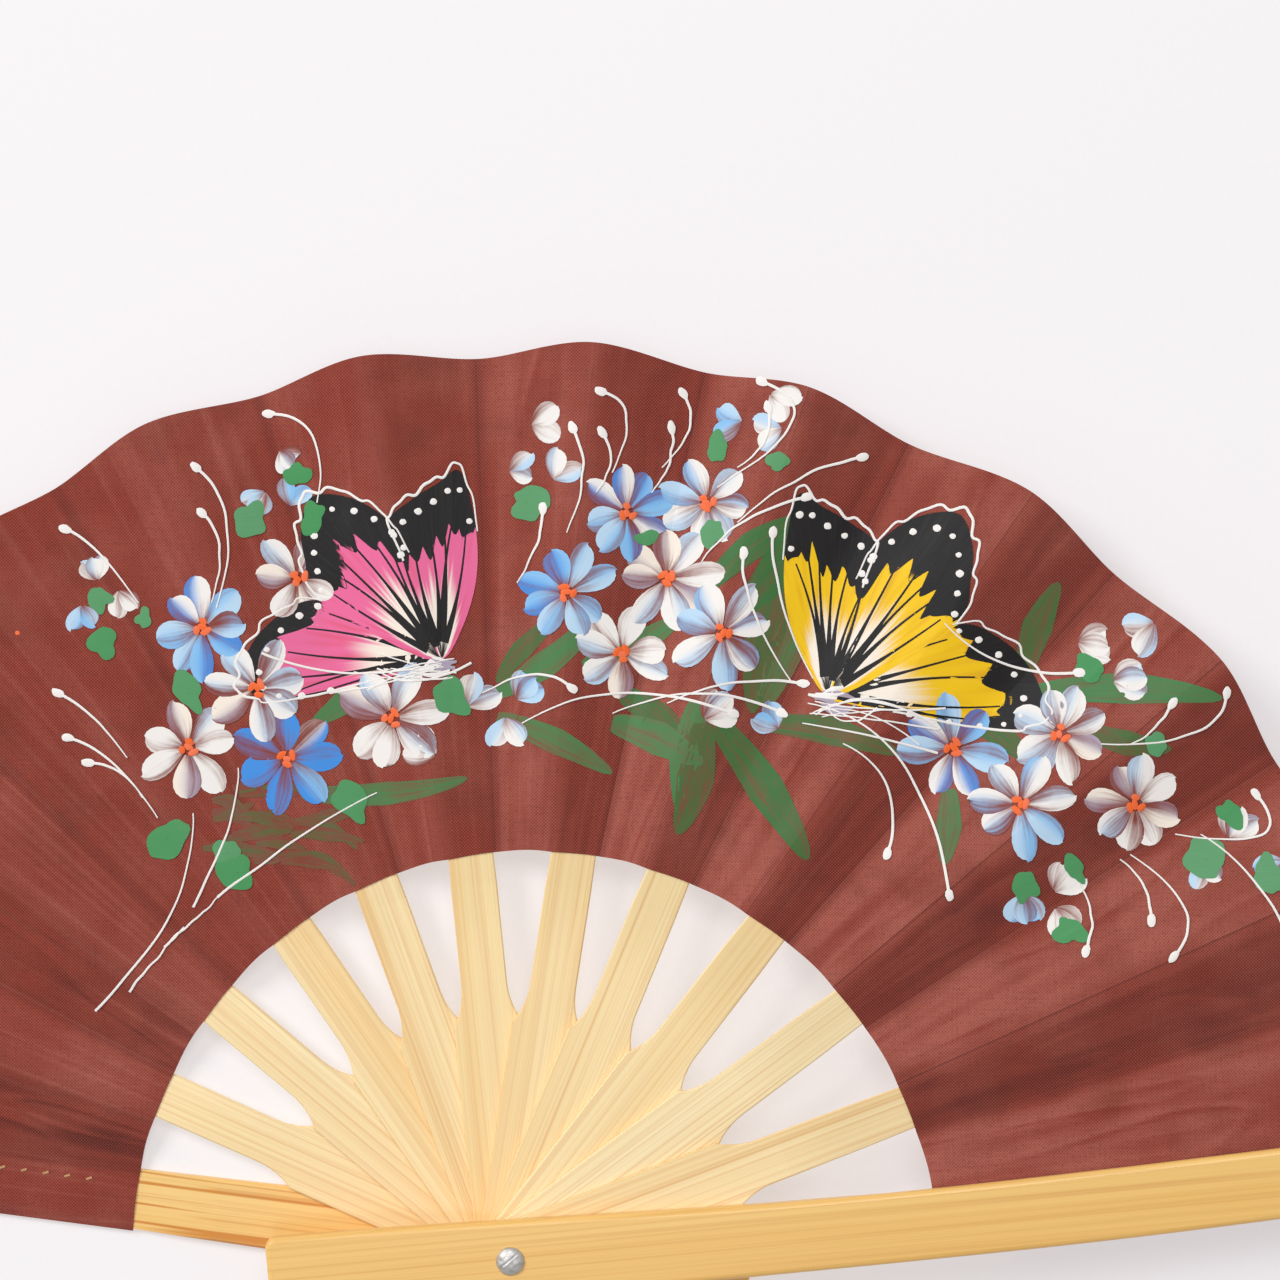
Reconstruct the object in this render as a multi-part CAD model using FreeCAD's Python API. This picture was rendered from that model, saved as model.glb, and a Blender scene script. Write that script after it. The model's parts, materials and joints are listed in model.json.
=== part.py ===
import FreeCAD, Part
import os
from math import cos, radians, sin, sqrt, tan

from FreeCAD import Vector

# A folding hand fan that lies open on its back. Millimetres and degrees.
# The rivet's axis is the Z axis and z = 0 is the underside of the rear guard.
# Every rib is drawn along +X, with +Y on its left, and is then turned to its place.

# Where each rib points when the fan is open: rear guard, ten sticks, front guard.
RIB_ANGLES = [172.6, 156.1, 140.0, 124.6, 110.2, 95.9, 81.2, 67.5, 52.1, 36.5, 20.8, 5.4]
LAST_RIB = len(RIB_ANGLES) - 1

# The stack of ribs on the rivet.
RIB_PITCH = 1.25
STICK_THICKNESS = 1.15
REAR_GUARD_THICKNESS = 2.6
FRONT_GUARD_THICKNESS = 3.4
STACK_GAP = 0.1

# Plan of the ribs.
TAIL_LENGTH = 48.0
GUARD_TIP = 182.0
HANDLE_HALF_WIDTH = 6.9
HANDLE_END = 46.0
FLARE_END = 54.0
SHANK_HALF_WIDTH = 4.6
BLADE_TIP = 168.0
BLADE_TIP_HALF_WIDTH = 2.6
CORNER_RADIUS = 2.0
TOP_CHAMFER = 0.25

# Half widths of the guards along their length, and the bow of the front guard.
REAR_GUARD_PLAN = [(-TAIL_LENGTH, 6.6), (0.0, 7.4), (48.0, 6.5), (78.0, 6.0), (GUARD_TIP, 5.7)]
FRONT_GUARD_PLAN = [(-TAIL_LENGTH, 6.9), (0.0, 7.7), (45.0, 7.1), (110.0, 7.0), (GUARD_TIP, 6.7)]
FRONT_BOW = (0.17, -0.028, 0.00021)
FRONT_EDGE_RADIUS = 1.1

# Past its shank a stick thins and twists into the blade, which leans with its pleat.
BLADE_THICKNESS = 0.5
BLADE_LIFT = 0.25
TWIST_START = 58.0
TWIST_END = 74.0
PLEAT_LEAN = 9.0

# The leaf: a cloth ring whose two edges are drawn about points beside the rivet.
CLOTH = 0.2
CLOTH_GAP = 0.03
LEAF_INNER = 80.4
LEAF_INNER_SHIFT = 4.0
LEAF_OUTER = 181.0
LEAF_OUTER_SHIFT = 2.0
FOLD_HALF_ANGLE = 3.6
FOLD_CLEARANCE = 0.12
HEM_HALF_WIDTH = 6.4
TUCK_HALF_WIDTH = 5.0

# The guards are thinner along the leaf, to leave room for the closed pleats.
RELIEF_START = 60.0
RELIEF_END = 75.5
REAR_RELIEF = 1.15
FRONT_RELIEF = 1.7

# The rivet, its washer and the hem's stitches.
PIN_RADIUS = 1.5
PIN_CLEARANCE = 0.05
HEAD_RADIUS = 2.8
HEAD_HEIGHT = 1.2
HEAD_GAP = 0.05
WASHER_RADIUS = 3.2
WASHER_THICKNESS = 0.6
STITCH_COUNT = 21
STITCH_FIRST = 86.0
STITCH_STEP = 4.4
STITCH_LENGTH = 1.2
STITCH_RADIUS = 0.28
STITCH_OFFSET = 3.2
STITCH_SLANT = 25.0

# Cutting tools reach this far past what they cut.
OVERRUN = 30.0

UP = Vector(0, 0, 1)


def rib_base(rib):
    """Height of the underside of a rib, where it sits on the rivet."""
    if rib == 0:
        return 0.0
    return REAR_GUARD_THICKNESS + STACK_GAP + RIB_PITCH * (rib - 1)


def cloth_height(rib):
    """Height of the underside of the cloth along the middle of a rib."""
    if rib == 0:
        return REAR_GUARD_THICKNESS - REAR_RELIEF + CLOTH_GAP
    if rib == LAST_RIB:
        return rib_base(rib) + FRONT_RELIEF - CLOTH_GAP - CLOTH
    return rib_base(rib) + BLADE_LIFT + BLADE_THICKNESS + CLOTH_GAP


def leaf_edges(angle):
    """Radii of the leaf's inner and outer edges in a direction from the rivet."""
    inner = LEAF_INNER + LEAF_INNER_SHIFT * cos(radians(angle))
    outer = LEAF_OUTER + LEAF_OUTER_SHIFT * cos(radians(angle))
    return inner, outer


def lean_of(rib):
    """Lean of the pleat's face on a rib, in degrees: none on the flat guards."""
    return 0.0 if rib in (0, LAST_RIB) else PLEAT_LEAN


def fold_reach(rib, distance):
    """How far a rib's strip of leaf reaches to each side of the rib's middle line."""
    if rib == 0:
        return HEM_HALF_WIDTH
    if rib == LAST_RIB:
        return TUCK_HALF_WIDTH
    return tan(radians(FOLD_HALF_ANGLE)) * distance


def turned(shape, rib):
    """A shape drawn along +X, turned to a rib's direction."""
    shape.rotate(Vector(0, 0, 0), UP, RIB_ANGLES[rib])
    return shape


def strip_section(distance, half, bottom, lean):
    """A thin rectangle of cloth across a rib, leaning up to the left."""
    rise = tan(radians(lean))
    corners = [(-half, 0.0), (half, 0.0), (half, CLOTH), (-half, CLOTH)]
    points = [Vector(distance, side, bottom + rise * side + height) for side, height in corners]
    return Part.makePolygon(points + points[:1])


def chamfered_section(distance, half, bottom, thickness, lean):
    """A rib's rectangle with its two upper edges taken off."""
    rise = tan(radians(lean))
    cut = min(TOP_CHAMFER, 0.5 * thickness)
    corners = [
        (-half, 0.0),
        (half, 0.0),
        (half, thickness - cut),
        (half - cut, thickness),
        (cut - half, thickness),
        (-half, thickness - cut),
    ]
    points = [Vector(distance, side, bottom + rise * side + height) for side, height in corners]
    return Part.makePolygon(points + points[:1])


def pin_hole(radius):
    """The round hole through a rib for the rivet."""
    return Part.makeCylinder(radius, 2 * OVERRUN, Vector(0, 0, -OVERRUN))


def write_node(shape, name):
    """Write one node's STEP file."""
    shape.exportStep(os.path.join("parts", name + ".step"))
    print(f"{name}: {len(shape.Solids)} solids, {shape.Volume:.2f} mm3, valid {shape.isValid()}")


def stick_handle(base):
    """The flat wide part of a stick, with its concave flare and square rounded tail."""
    rise = HANDLE_HALF_WIDTH - SHANK_HALF_WIDTH
    run = FLARE_END - HANDLE_END
    radius = (run ** 2 + rise ** 2) / (2 * rise)
    halfway = SHANK_HALF_WIDTH + radius - sqrt(radius ** 2 - (run / 2) ** 2)
    middle = HANDLE_END + run / 2
    edges = []
    for side in (1, -1):
        start = Vector(TWIST_START, side * SHANK_HALF_WIDTH, base)
        flare = Vector(FLARE_END, side * SHANK_HALF_WIDTH, base)
        flare_middle = Vector(middle, side * halfway, base)
        handle = Vector(HANDLE_END, side * HANDLE_HALF_WIDTH, base)
        tail = Vector(-TAIL_LENGTH, side * HANDLE_HALF_WIDTH, base)
        edges.append(Part.makeLine(start, flare))
        edges.append(Part.Arc(flare, flare_middle, handle).toShape())
        edges.append(Part.makeLine(handle, tail))
    edges.append(Part.makeLine(
        Vector(-TAIL_LENGTH, HANDLE_HALF_WIDTH, base), Vector(-TAIL_LENGTH, -HANDLE_HALF_WIDTH, base)))
    edges.append(Part.makeLine(
        Vector(TWIST_START, SHANK_HALF_WIDTH, base), Vector(TWIST_START, -SHANK_HALF_WIDTH, base)))
    outline = Part.Wire(Part.__sortEdges__(edges))
    body = Part.Face(outline).extrude(Vector(0, 0, STICK_THICKNESS))
    body = body.makeFillet(CORNER_RADIUS, upright_edges(body, -TAIL_LENGTH))
    top = base + STICK_THICKNESS
    rim = [edge for edge in body.Edges if level_edge(edge, top) and not crossing(edge, TWIST_START)]
    return body.makeChamfer(TOP_CHAMFER, rim)


def upright_edges(shape, distance):
    """The vertical edges of a shape at one distance along the rib."""
    return [
        edge for edge in shape.Edges
        if abs(edge.BoundBox.XMin - distance) < 1e-4
        and edge.BoundBox.XLength < 1e-4
        and edge.BoundBox.YLength < 1e-4
    ]


def level_edge(edge, height):
    """True for an edge that lies at one height."""
    box = edge.BoundBox
    return abs(box.ZMin - height) < 1e-4 and abs(box.ZMax - height) < 1e-4


def crossing(edge, distance):
    """True for an edge that runs across the rib at one distance."""
    box = edge.BoundBox
    return abs(box.XMin - distance) < 1e-4 and box.XLength < 1e-4


def make_stick(rib):
    """One inner stick: handle, twisting shank, and the leaning blade behind the leaf."""
    base = rib_base(rib)
    thin = base + BLADE_LIFT
    blade = Part.makeLoft([
        chamfered_section(TWIST_START, SHANK_HALF_WIDTH, base, STICK_THICKNESS, 0.0),
        chamfered_section(TWIST_END, SHANK_HALF_WIDTH, thin, BLADE_THICKNESS, PLEAT_LEAN),
        chamfered_section(BLADE_TIP, BLADE_TIP_HALF_WIDTH, thin, BLADE_THICKNESS, PLEAT_LEAN),
    ], True, True)
    stick = stick_handle(base).fuse(blade).removeSplitter()
    return turned(stick.cut(pin_hole(PIN_RADIUS + PIN_CLEARANCE)), rib)


def guard_plan(plan, bow, base):
    """The outline of a guard: two smooth long edges about its bowed middle line."""
    sides = []
    for side in (1, -1):
        points = []
        for distance, half in plan:
            middle = bow[0] + bow[1] * distance + bow[2] * distance ** 2
            points.append(Vector(distance, middle + side * half, base))
        curve = Part.BSplineCurve()
        curve.interpolate(points)
        sides.append((curve.toShape(), points[0], points[-1]))
    left, right = sides
    tail = Part.makeLine(left[1], right[1])
    tip = Part.makeLine(left[2], right[2])
    return Part.Face(Part.Wire(Part.__sortEdges__([left[0], tip, right[0], tail])))


def relief_cut(face, floor):
    """The block that thins a guard along the leaf, from one of its faces in to a floor."""
    far = GUARD_TIP + OVERRUN
    points = [
        Vector(RELIEF_START, -OVERRUN, face),
        Vector(RELIEF_END, -OVERRUN, floor),
        Vector(far, -OVERRUN, floor),
        Vector(far, -OVERRUN, face),
    ]
    profile = Part.Face(Part.makePolygon(points + points[:1]))
    return profile.extrude(Vector(0, 2 * OVERRUN, 0))


def make_rear_guard():
    """The rear guard: a flat slat, thinner under the leaf, with a seat for the washer."""
    body = guard_plan(REAR_GUARD_PLAN, (0.0, 0.0, 0.0), 0.0).extrude(UP * REAR_GUARD_THICKNESS)
    corners = upright_edges(body, -TAIL_LENGTH) + upright_edges(body, GUARD_TIP)
    body = body.makeFillet(CORNER_RADIUS, corners)
    rim = [edge for edge in body.Edges if level_edge(edge, REAR_GUARD_THICKNESS)]
    body = body.makeChamfer(2 * TOP_CHAMFER, rim)
    body = body.cut(relief_cut(REAR_GUARD_THICKNESS, REAR_GUARD_THICKNESS - REAR_RELIEF))
    body = body.cut(Part.makeCylinder(WASHER_RADIUS + PIN_CLEARANCE, WASHER_THICKNESS))
    return turned(body.cut(pin_hole(PIN_RADIUS + PIN_CLEARANCE)), 0)


def make_front_guard():
    """The front guard: thicker, slightly bowed, rounded on top and hollowed over the leaf."""
    base = rib_base(LAST_RIB)
    top = base + FRONT_GUARD_THICKNESS
    body = guard_plan(FRONT_GUARD_PLAN, FRONT_BOW, base).extrude(UP * FRONT_GUARD_THICKNESS)
    corners = upright_edges(body, -TAIL_LENGTH) + upright_edges(body, GUARD_TIP)
    body = body.makeFillet(CORNER_RADIUS, corners)
    rim = [edge for edge in body.Edges if level_edge(edge, top)]
    body = body.makeFillet(FRONT_EDGE_RADIUS, rim)
    body = body.cut(relief_cut(base, base + FRONT_RELIEF))
    return turned(body.cut(pin_hole(PIN_RADIUS + PIN_CLEARANCE)), LAST_RIB)


def make_rivet():
    """The pin through all the ribs with its domed head on the front guard."""
    seat = rib_base(LAST_RIB) + FRONT_GUARD_THICKNESS + HEAD_GAP
    pin = Part.makeCylinder(PIN_RADIUS, seat)
    sphere_radius = (HEAD_RADIUS ** 2 + HEAD_HEIGHT ** 2) / (2 * HEAD_HEIGHT)
    ball = Part.makeSphere(sphere_radius, Vector(0, 0, seat + HEAD_HEIGHT - sphere_radius))
    dome = ball.common(Part.makeCylinder(OVERRUN, OVERRUN, Vector(0, 0, seat)))
    return pin.fuse(dome).removeSplitter()


def make_washer():
    """The flat washer under the rear guard, level with its underside."""
    return Part.makeCylinder(WASHER_RADIUS, WASHER_THICKNESS).cut(pin_hole(PIN_RADIUS))


def make_rib_panel(rib):
    """The strip of leaf that is glued along one rib, from its ridge to its valley."""
    sections = [
        strip_section(distance, fold_reach(rib, distance), cloth_height(rib), lean_of(rib))
        for distance in leaf_edges(RIB_ANGLES[rib])
    ]
    return turned(Part.makeLoft(sections, True, True), rib)


def crease_section(rib, side):
    """A thin upright wire along one crease of a rib's strip, just outside the strip."""
    turn = FreeCAD.Rotation(UP, RIB_ANGLES[rib])
    points = []
    for distance in leaf_edges(RIB_ANGLES[rib]):
        reach = side * fold_reach(rib, distance)
        rise = reach * tan(radians(lean_of(rib)))
        place = Vector(distance, reach + side * FOLD_CLEARANCE, cloth_height(rib) + rise)
        points.append(turn.multVec(place))
    raised = [point + UP * CLOTH for point in reversed(points)]
    return Part.makePolygon(points + raised + points[:1])


def make_fold_panel(rib):
    """The free strip of leaf between a rib's valley and the next rib's ridge."""
    return Part.makeLoft([crease_section(rib, -1), crease_section(rib + 1, 1)], True, True)


def make_stitches():
    """The small slanting stitches of the hem on the rear guard's strip of leaf."""
    height = cloth_height(0) + CLOTH
    heading = Vector(cos(radians(STITCH_SLANT)), sin(radians(STITCH_SLANT)), 0)
    stitches = []
    for number in range(STITCH_COUNT):
        start = Vector(STITCH_FIRST + number * STITCH_STEP, -STITCH_OFFSET, height)
        stitch = Part.makeCylinder(STITCH_RADIUS, STITCH_LENGTH, start, heading)
        above = Part.makeBox(OVERRUN, OVERRUN, OVERRUN, start - Vector(OVERRUN / 2, OVERRUN / 2, 0))
        stitches.append(stitch.common(above))
    return turned(Part.makeCompound(stitches), 0)


def build():
    """Write every node of the fan."""
    os.makedirs("parts", exist_ok=True)
    write_node(make_rear_guard(), "rear_guard")
    write_node(make_front_guard(), "front_guard")
    write_node(make_rivet(), "rivet")
    write_node(make_washer(), "rivet_washer")
    write_node(make_stitches(), "hem_stitches")
    write_node(make_rib_panel(0), "leaf_on_rear_guard")
    write_node(make_rib_panel(LAST_RIB), "leaf_on_front_guard")
    for rib in range(1, LAST_RIB):
        write_node(make_stick(rib), f"stick_{rib:02d}")
        write_node(make_rib_panel(rib), f"leaf_on_stick_{rib:02d}")
    for rib in range(LAST_RIB):
        write_node(make_fold_panel(rib), f"leaf_fold_{rib + 1:02d}")


build()
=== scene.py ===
"""Dresses an open folding hand fan: pleated painted cloth, bamboo ribs, rivet, hem, floor, lights, camera."""
import json
import logging
import math
import random
from dataclasses import dataclass, field
from enum import Enum
from typing import Any, Callable, Iterable, Sequence

import bmesh
import bpy
import numpy as np
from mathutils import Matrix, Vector, noise

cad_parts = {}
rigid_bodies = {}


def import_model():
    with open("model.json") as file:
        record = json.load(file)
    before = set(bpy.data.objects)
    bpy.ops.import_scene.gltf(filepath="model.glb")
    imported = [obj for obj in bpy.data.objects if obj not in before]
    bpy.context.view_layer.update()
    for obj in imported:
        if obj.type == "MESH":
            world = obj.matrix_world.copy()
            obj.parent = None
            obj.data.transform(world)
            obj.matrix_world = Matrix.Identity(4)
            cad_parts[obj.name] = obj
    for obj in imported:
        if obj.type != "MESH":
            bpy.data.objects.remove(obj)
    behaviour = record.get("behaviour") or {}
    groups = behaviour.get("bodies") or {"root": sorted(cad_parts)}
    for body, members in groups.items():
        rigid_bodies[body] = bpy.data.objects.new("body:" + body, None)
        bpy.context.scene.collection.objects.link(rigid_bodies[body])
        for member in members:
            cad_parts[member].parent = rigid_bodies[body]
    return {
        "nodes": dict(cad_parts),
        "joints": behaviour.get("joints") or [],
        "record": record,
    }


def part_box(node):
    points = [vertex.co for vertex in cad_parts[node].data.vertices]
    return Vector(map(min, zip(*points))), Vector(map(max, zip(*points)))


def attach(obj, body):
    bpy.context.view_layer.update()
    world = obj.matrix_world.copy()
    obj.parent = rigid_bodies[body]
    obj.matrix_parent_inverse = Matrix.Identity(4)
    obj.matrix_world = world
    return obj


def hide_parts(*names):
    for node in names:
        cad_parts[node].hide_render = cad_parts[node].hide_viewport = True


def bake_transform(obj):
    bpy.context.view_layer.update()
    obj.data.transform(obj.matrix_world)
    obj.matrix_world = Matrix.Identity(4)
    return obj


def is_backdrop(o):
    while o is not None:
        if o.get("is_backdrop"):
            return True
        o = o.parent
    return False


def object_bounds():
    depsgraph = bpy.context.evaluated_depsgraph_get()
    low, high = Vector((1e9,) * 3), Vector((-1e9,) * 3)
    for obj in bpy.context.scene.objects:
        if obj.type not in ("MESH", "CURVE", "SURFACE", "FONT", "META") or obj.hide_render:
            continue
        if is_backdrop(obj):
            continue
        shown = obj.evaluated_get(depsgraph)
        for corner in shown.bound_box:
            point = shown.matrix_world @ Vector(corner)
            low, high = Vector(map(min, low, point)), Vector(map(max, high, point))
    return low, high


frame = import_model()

LOG = logging.getLogger("hand_fan")
MM = 0.001
CAD_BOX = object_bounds()

Colour = tuple[float, float, float]
Point = tuple[float, float]


def srgb(red: int, green: int, blue: int) -> Colour:
    """Turn a colour as seen on a screen, 0 to 255, into linear light.

    Args:
        red: Red, 0 to 255.
        green: Green, 0 to 255.
        blue: Blue, 0 to 255.

    Returns:
        The colour in linear light, 0 to 1.
    """
    values = []
    for part in (red, green, blue):
        share = part / 255
        values.append(share / 12.92 if share <= 0.04045 else ((share + 0.055) / 1.055) ** 2.4)
    return (values[0], values[1], values[2])


def smooth(share: float) -> float:
    """Ease a share from 0 to 1, held at 0 and 1 outside."""
    held = min(max(share, 0.0), 1.0)
    return held * held * (3 - 2 * held)


def mix(first: Sequence[float], second: Sequence[float], share: float) -> tuple[float, ...]:
    """Mix two colours or points; a share of 0 gives the first."""
    return tuple(a + (b - a) * share for a, b in zip(first, second))


# ---------------------------------------------------------------- shader maths


class Value:
    """A shader socket that can be added, multiplied and compared in a Python expression."""

    def __init__(self, finish: "Finish", socket: bpy.types.NodeSocket) -> None:
        """Wrap one output socket of a finish's tree."""
        self.finish = finish
        self.socket = socket

    def _sum(self, operation: str, first: Any, second: Any = 0.0, clamp: bool = False) -> "Value":
        """Add a Math node.

        Args:
            operation: What the node works out.
            first: A value or number.
            second: Another, for an operation that takes two.
            clamp: Whether the result is held between 0 and 1.

        Returns:
            The result.
        """
        settings = {"operation": operation, "use_clamp": clamp}
        node = self.finish.node("ShaderNodeMath", settings, {0: first, 1: second})
        return Value(self.finish, node.outputs[0])

    def __add__(self, other: Any) -> "Value":
        """Self plus other."""
        return self._sum("ADD", self, other)

    __radd__ = __add__

    def __sub__(self, other: Any) -> "Value":
        """Self minus other."""
        return self._sum("SUBTRACT", self, other)

    def __rsub__(self, other: Any) -> "Value":
        """Other minus self."""
        return self._sum("SUBTRACT", other, self)

    def __mul__(self, other: Any) -> "Value":
        """Self times other."""
        return self._sum("MULTIPLY", self, other)

    __rmul__ = __mul__

    def clamped(self) -> "Value":
        """Self held between 0 and 1."""
        return self._sum("ADD", self, 0.0, True)

    def sine(self) -> "Value":
        """The sine of self, in radians."""
        return self._sum("SINE", self)

    def ramp(self, low: float, high: float) -> "Value":
        """A smooth step of self.

        Args:
            low: Where the step begins, and up to which it is 0.
            high: Where it ends, and above which it is 1.

        Returns:
            The step.
        """
        settings = {"interpolation_type": "SMOOTHSTEP"}
        inputs = {"Value": self, "From Min": low, "From Max": high, "To Min": 0.0, "To Max": 1.0}
        node = self.finish.node("ShaderNodeMapRange", settings, inputs)
        return Value(self.finish, node.outputs["Result"])


class Finish:
    """One material's node tree, with a Principled shader at its end."""

    def __init__(self, name: str) -> None:
        """Start an empty material.

        Args:
            name: Its name.
        """
        self.material = bpy.data.materials.new(name)
        self.material.use_nodes = True
        self.tree = self.material.node_tree
        self.shader = self.tree.nodes["Principled BSDF"]

    def node(self, kind: str, settings: dict[str, Any], inputs: dict[Any, Any]) -> bpy.types.Node:
        """Add a node.

        Args:
            kind: The node's type.
            settings: Its own settings, set before its sockets.
            inputs: Socket name or number to a Value, socket, number, vector or colour.

        Returns:
            The new node.
        """
        made = self.tree.nodes.new(kind)
        for key, value in settings.items():
            setattr(made, key, value)
        for key, value in inputs.items():
            self.feed(made.inputs[key], value)
        return made

    def feed(self, socket: bpy.types.NodeSocket, value: Any) -> None:
        """Link or set a socket.

        Args:
            socket: The socket to feed.
            value: A Value or a socket to link, or a number, vector or colour to set.
        """
        if isinstance(value, Value):
            self.tree.links.new(value.socket, socket)
        elif isinstance(value, bpy.types.NodeSocket):
            self.tree.links.new(value, socket)
        elif socket.type == "RGBA" and len(value) == 3:
            socket.default_value = (*value, 1.0)
        else:
            socket.default_value = value

    def along(self, turn: float, scale: Sequence[float], shift: float = 0.0) -> bpy.types.NodeSocket:
        """Object coordinates, turned about Z and then stretched.

        Args:
            turn: The angle of the new X axis, in radians.
            scale: Pattern steps per metre along X, Y and Z.
            shift: A shift of the pattern, so that two pieces differ.

        Returns:
            The vector socket.
        """
        place = self.node("ShaderNodeTexCoord", {}, {}).outputs["Object"]
        turned = self.node("ShaderNodeMapping", {}, {"Vector": place, "Rotation": (0.0, 0.0, -turn)})
        inputs = {"Vector": turned.outputs[0], "Scale": tuple(scale), "Location": (shift, shift, shift)}
        return self.node("ShaderNodeMapping", {}, inputs).outputs[0]

    def stretched(self, vector: bpy.types.NodeSocket, scale: Sequence[float]) -> bpy.types.NodeSocket:
        """A vector, stretched along its axes."""
        inputs = {"Vector": vector, "Scale": tuple(scale)}
        return self.node("ShaderNodeMapping", {}, inputs).outputs[0]

    def noise(self, vector: bpy.types.NodeSocket, detail: float = 2.0, scale: float = 1.0) -> Value:
        """A soft random pattern over a vector, from 0 to 1."""
        inputs = {"Vector": vector, "Scale": scale, "Detail": detail, "Roughness": 0.55}
        return Value(self, self.node("ShaderNodeTexNoise", {}, inputs).outputs[0])

    def attribute(self, name: str, output: str) -> bpy.types.NodeSocket:
        """One output of the piece's own attribute."""
        return self.node("ShaderNodeAttribute", {"attribute_name": name}, {}).outputs[output]

    def mixed(self, factor: Any, first: Any, second: Any) -> bpy.types.NodeSocket:
        """A mix of two colours."""
        settings = {"data_type": "RGBA", "clamp_factor": True}
        return self.node("ShaderNodeMix", settings, {0: factor, 6: first, 7: second}).outputs[2]

    def surface(self, **sockets: Any) -> None:
        """Set or link the Principled shader's sockets, with _ for each space."""
        for key, value in sockets.items():
            self.feed(self.shader.inputs[key.replace("_", " ")], value)

    def bump(self, height: Any, distance: float, strength: float = 1.0) -> None:
        """Raise the surface.

        Args:
            height: A pattern from 0 to 1.
            distance: How far a 1 stands up, in metres.
            strength: How strongly it shows.
        """
        inputs = {"Height": height, "Distance": distance, "Strength": strength}
        node = self.node("ShaderNodeBump", {}, inputs)
        self.feed(self.shader.inputs["Normal"], node.outputs[0])


# ------------------------------------------------------------------- finishes


@dataclass(frozen=True)
class Bamboo:
    """Split and planed bamboo with its fibres along the rib."""

    name: str
    turn: float
    pale: Colour
    deep: Colour
    fibre: Colour
    lines: float = 0.5
    stripes: float = 0.2
    roughness: float = 0.42
    coat: float = 0.15
    shift: float = 0.0

    def material(self) -> bpy.types.Material:
        """Build the bamboo material.

        Returns:
            The material.
        """
        f = Finish(self.name)
        broad = f.noise(f.along(self.turn, (3.0, 110.0, 40.0), self.shift), 2.0)
        fine = f.noise(f.along(self.turn, (6.0, 1500.0, 400.0), self.shift + 3.1), 3.0)
        hair = f.noise(f.along(self.turn, (10.0, 4200.0, 900.0), self.shift + 7.7), 2.0)
        strand = f.noise(f.along(self.turn, (1.5, 620.0, 150.0), self.shift + 11.3), 1.0)
        flecks = f.noise(f.along(self.turn, (90.0, 1500.0, 500.0), self.shift + 1.9), 2.0)
        ground = f.mixed(broad.ramp(0.3, 0.72) * 0.8, self.pale, self.deep)
        fibres = fine.ramp(0.42, 0.74) * 0.75 + hair.ramp(0.45, 0.75) * 0.4
        dark = strand.ramp(0.55, 0.66) * self.stripes + fibres * self.lines
        lined = f.mixed(dark.clamped(), ground, self.fibre)
        speck = f.mixed(flecks.ramp(0.66, 0.8) * 0.2, lined, self.deep)
        f.surface(
            Base_Color=speck,
            Roughness=self.roughness + fine * 0.16 - hair * 0.05,
            Coat_Weight=self.coat,
            Coat_Roughness=0.28,
            Specular_IOR_Level=0.45,
        )
        f.bump(fine * 0.7 + hair * 0.3, 0.00006, 0.5)
        return f.material


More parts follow.
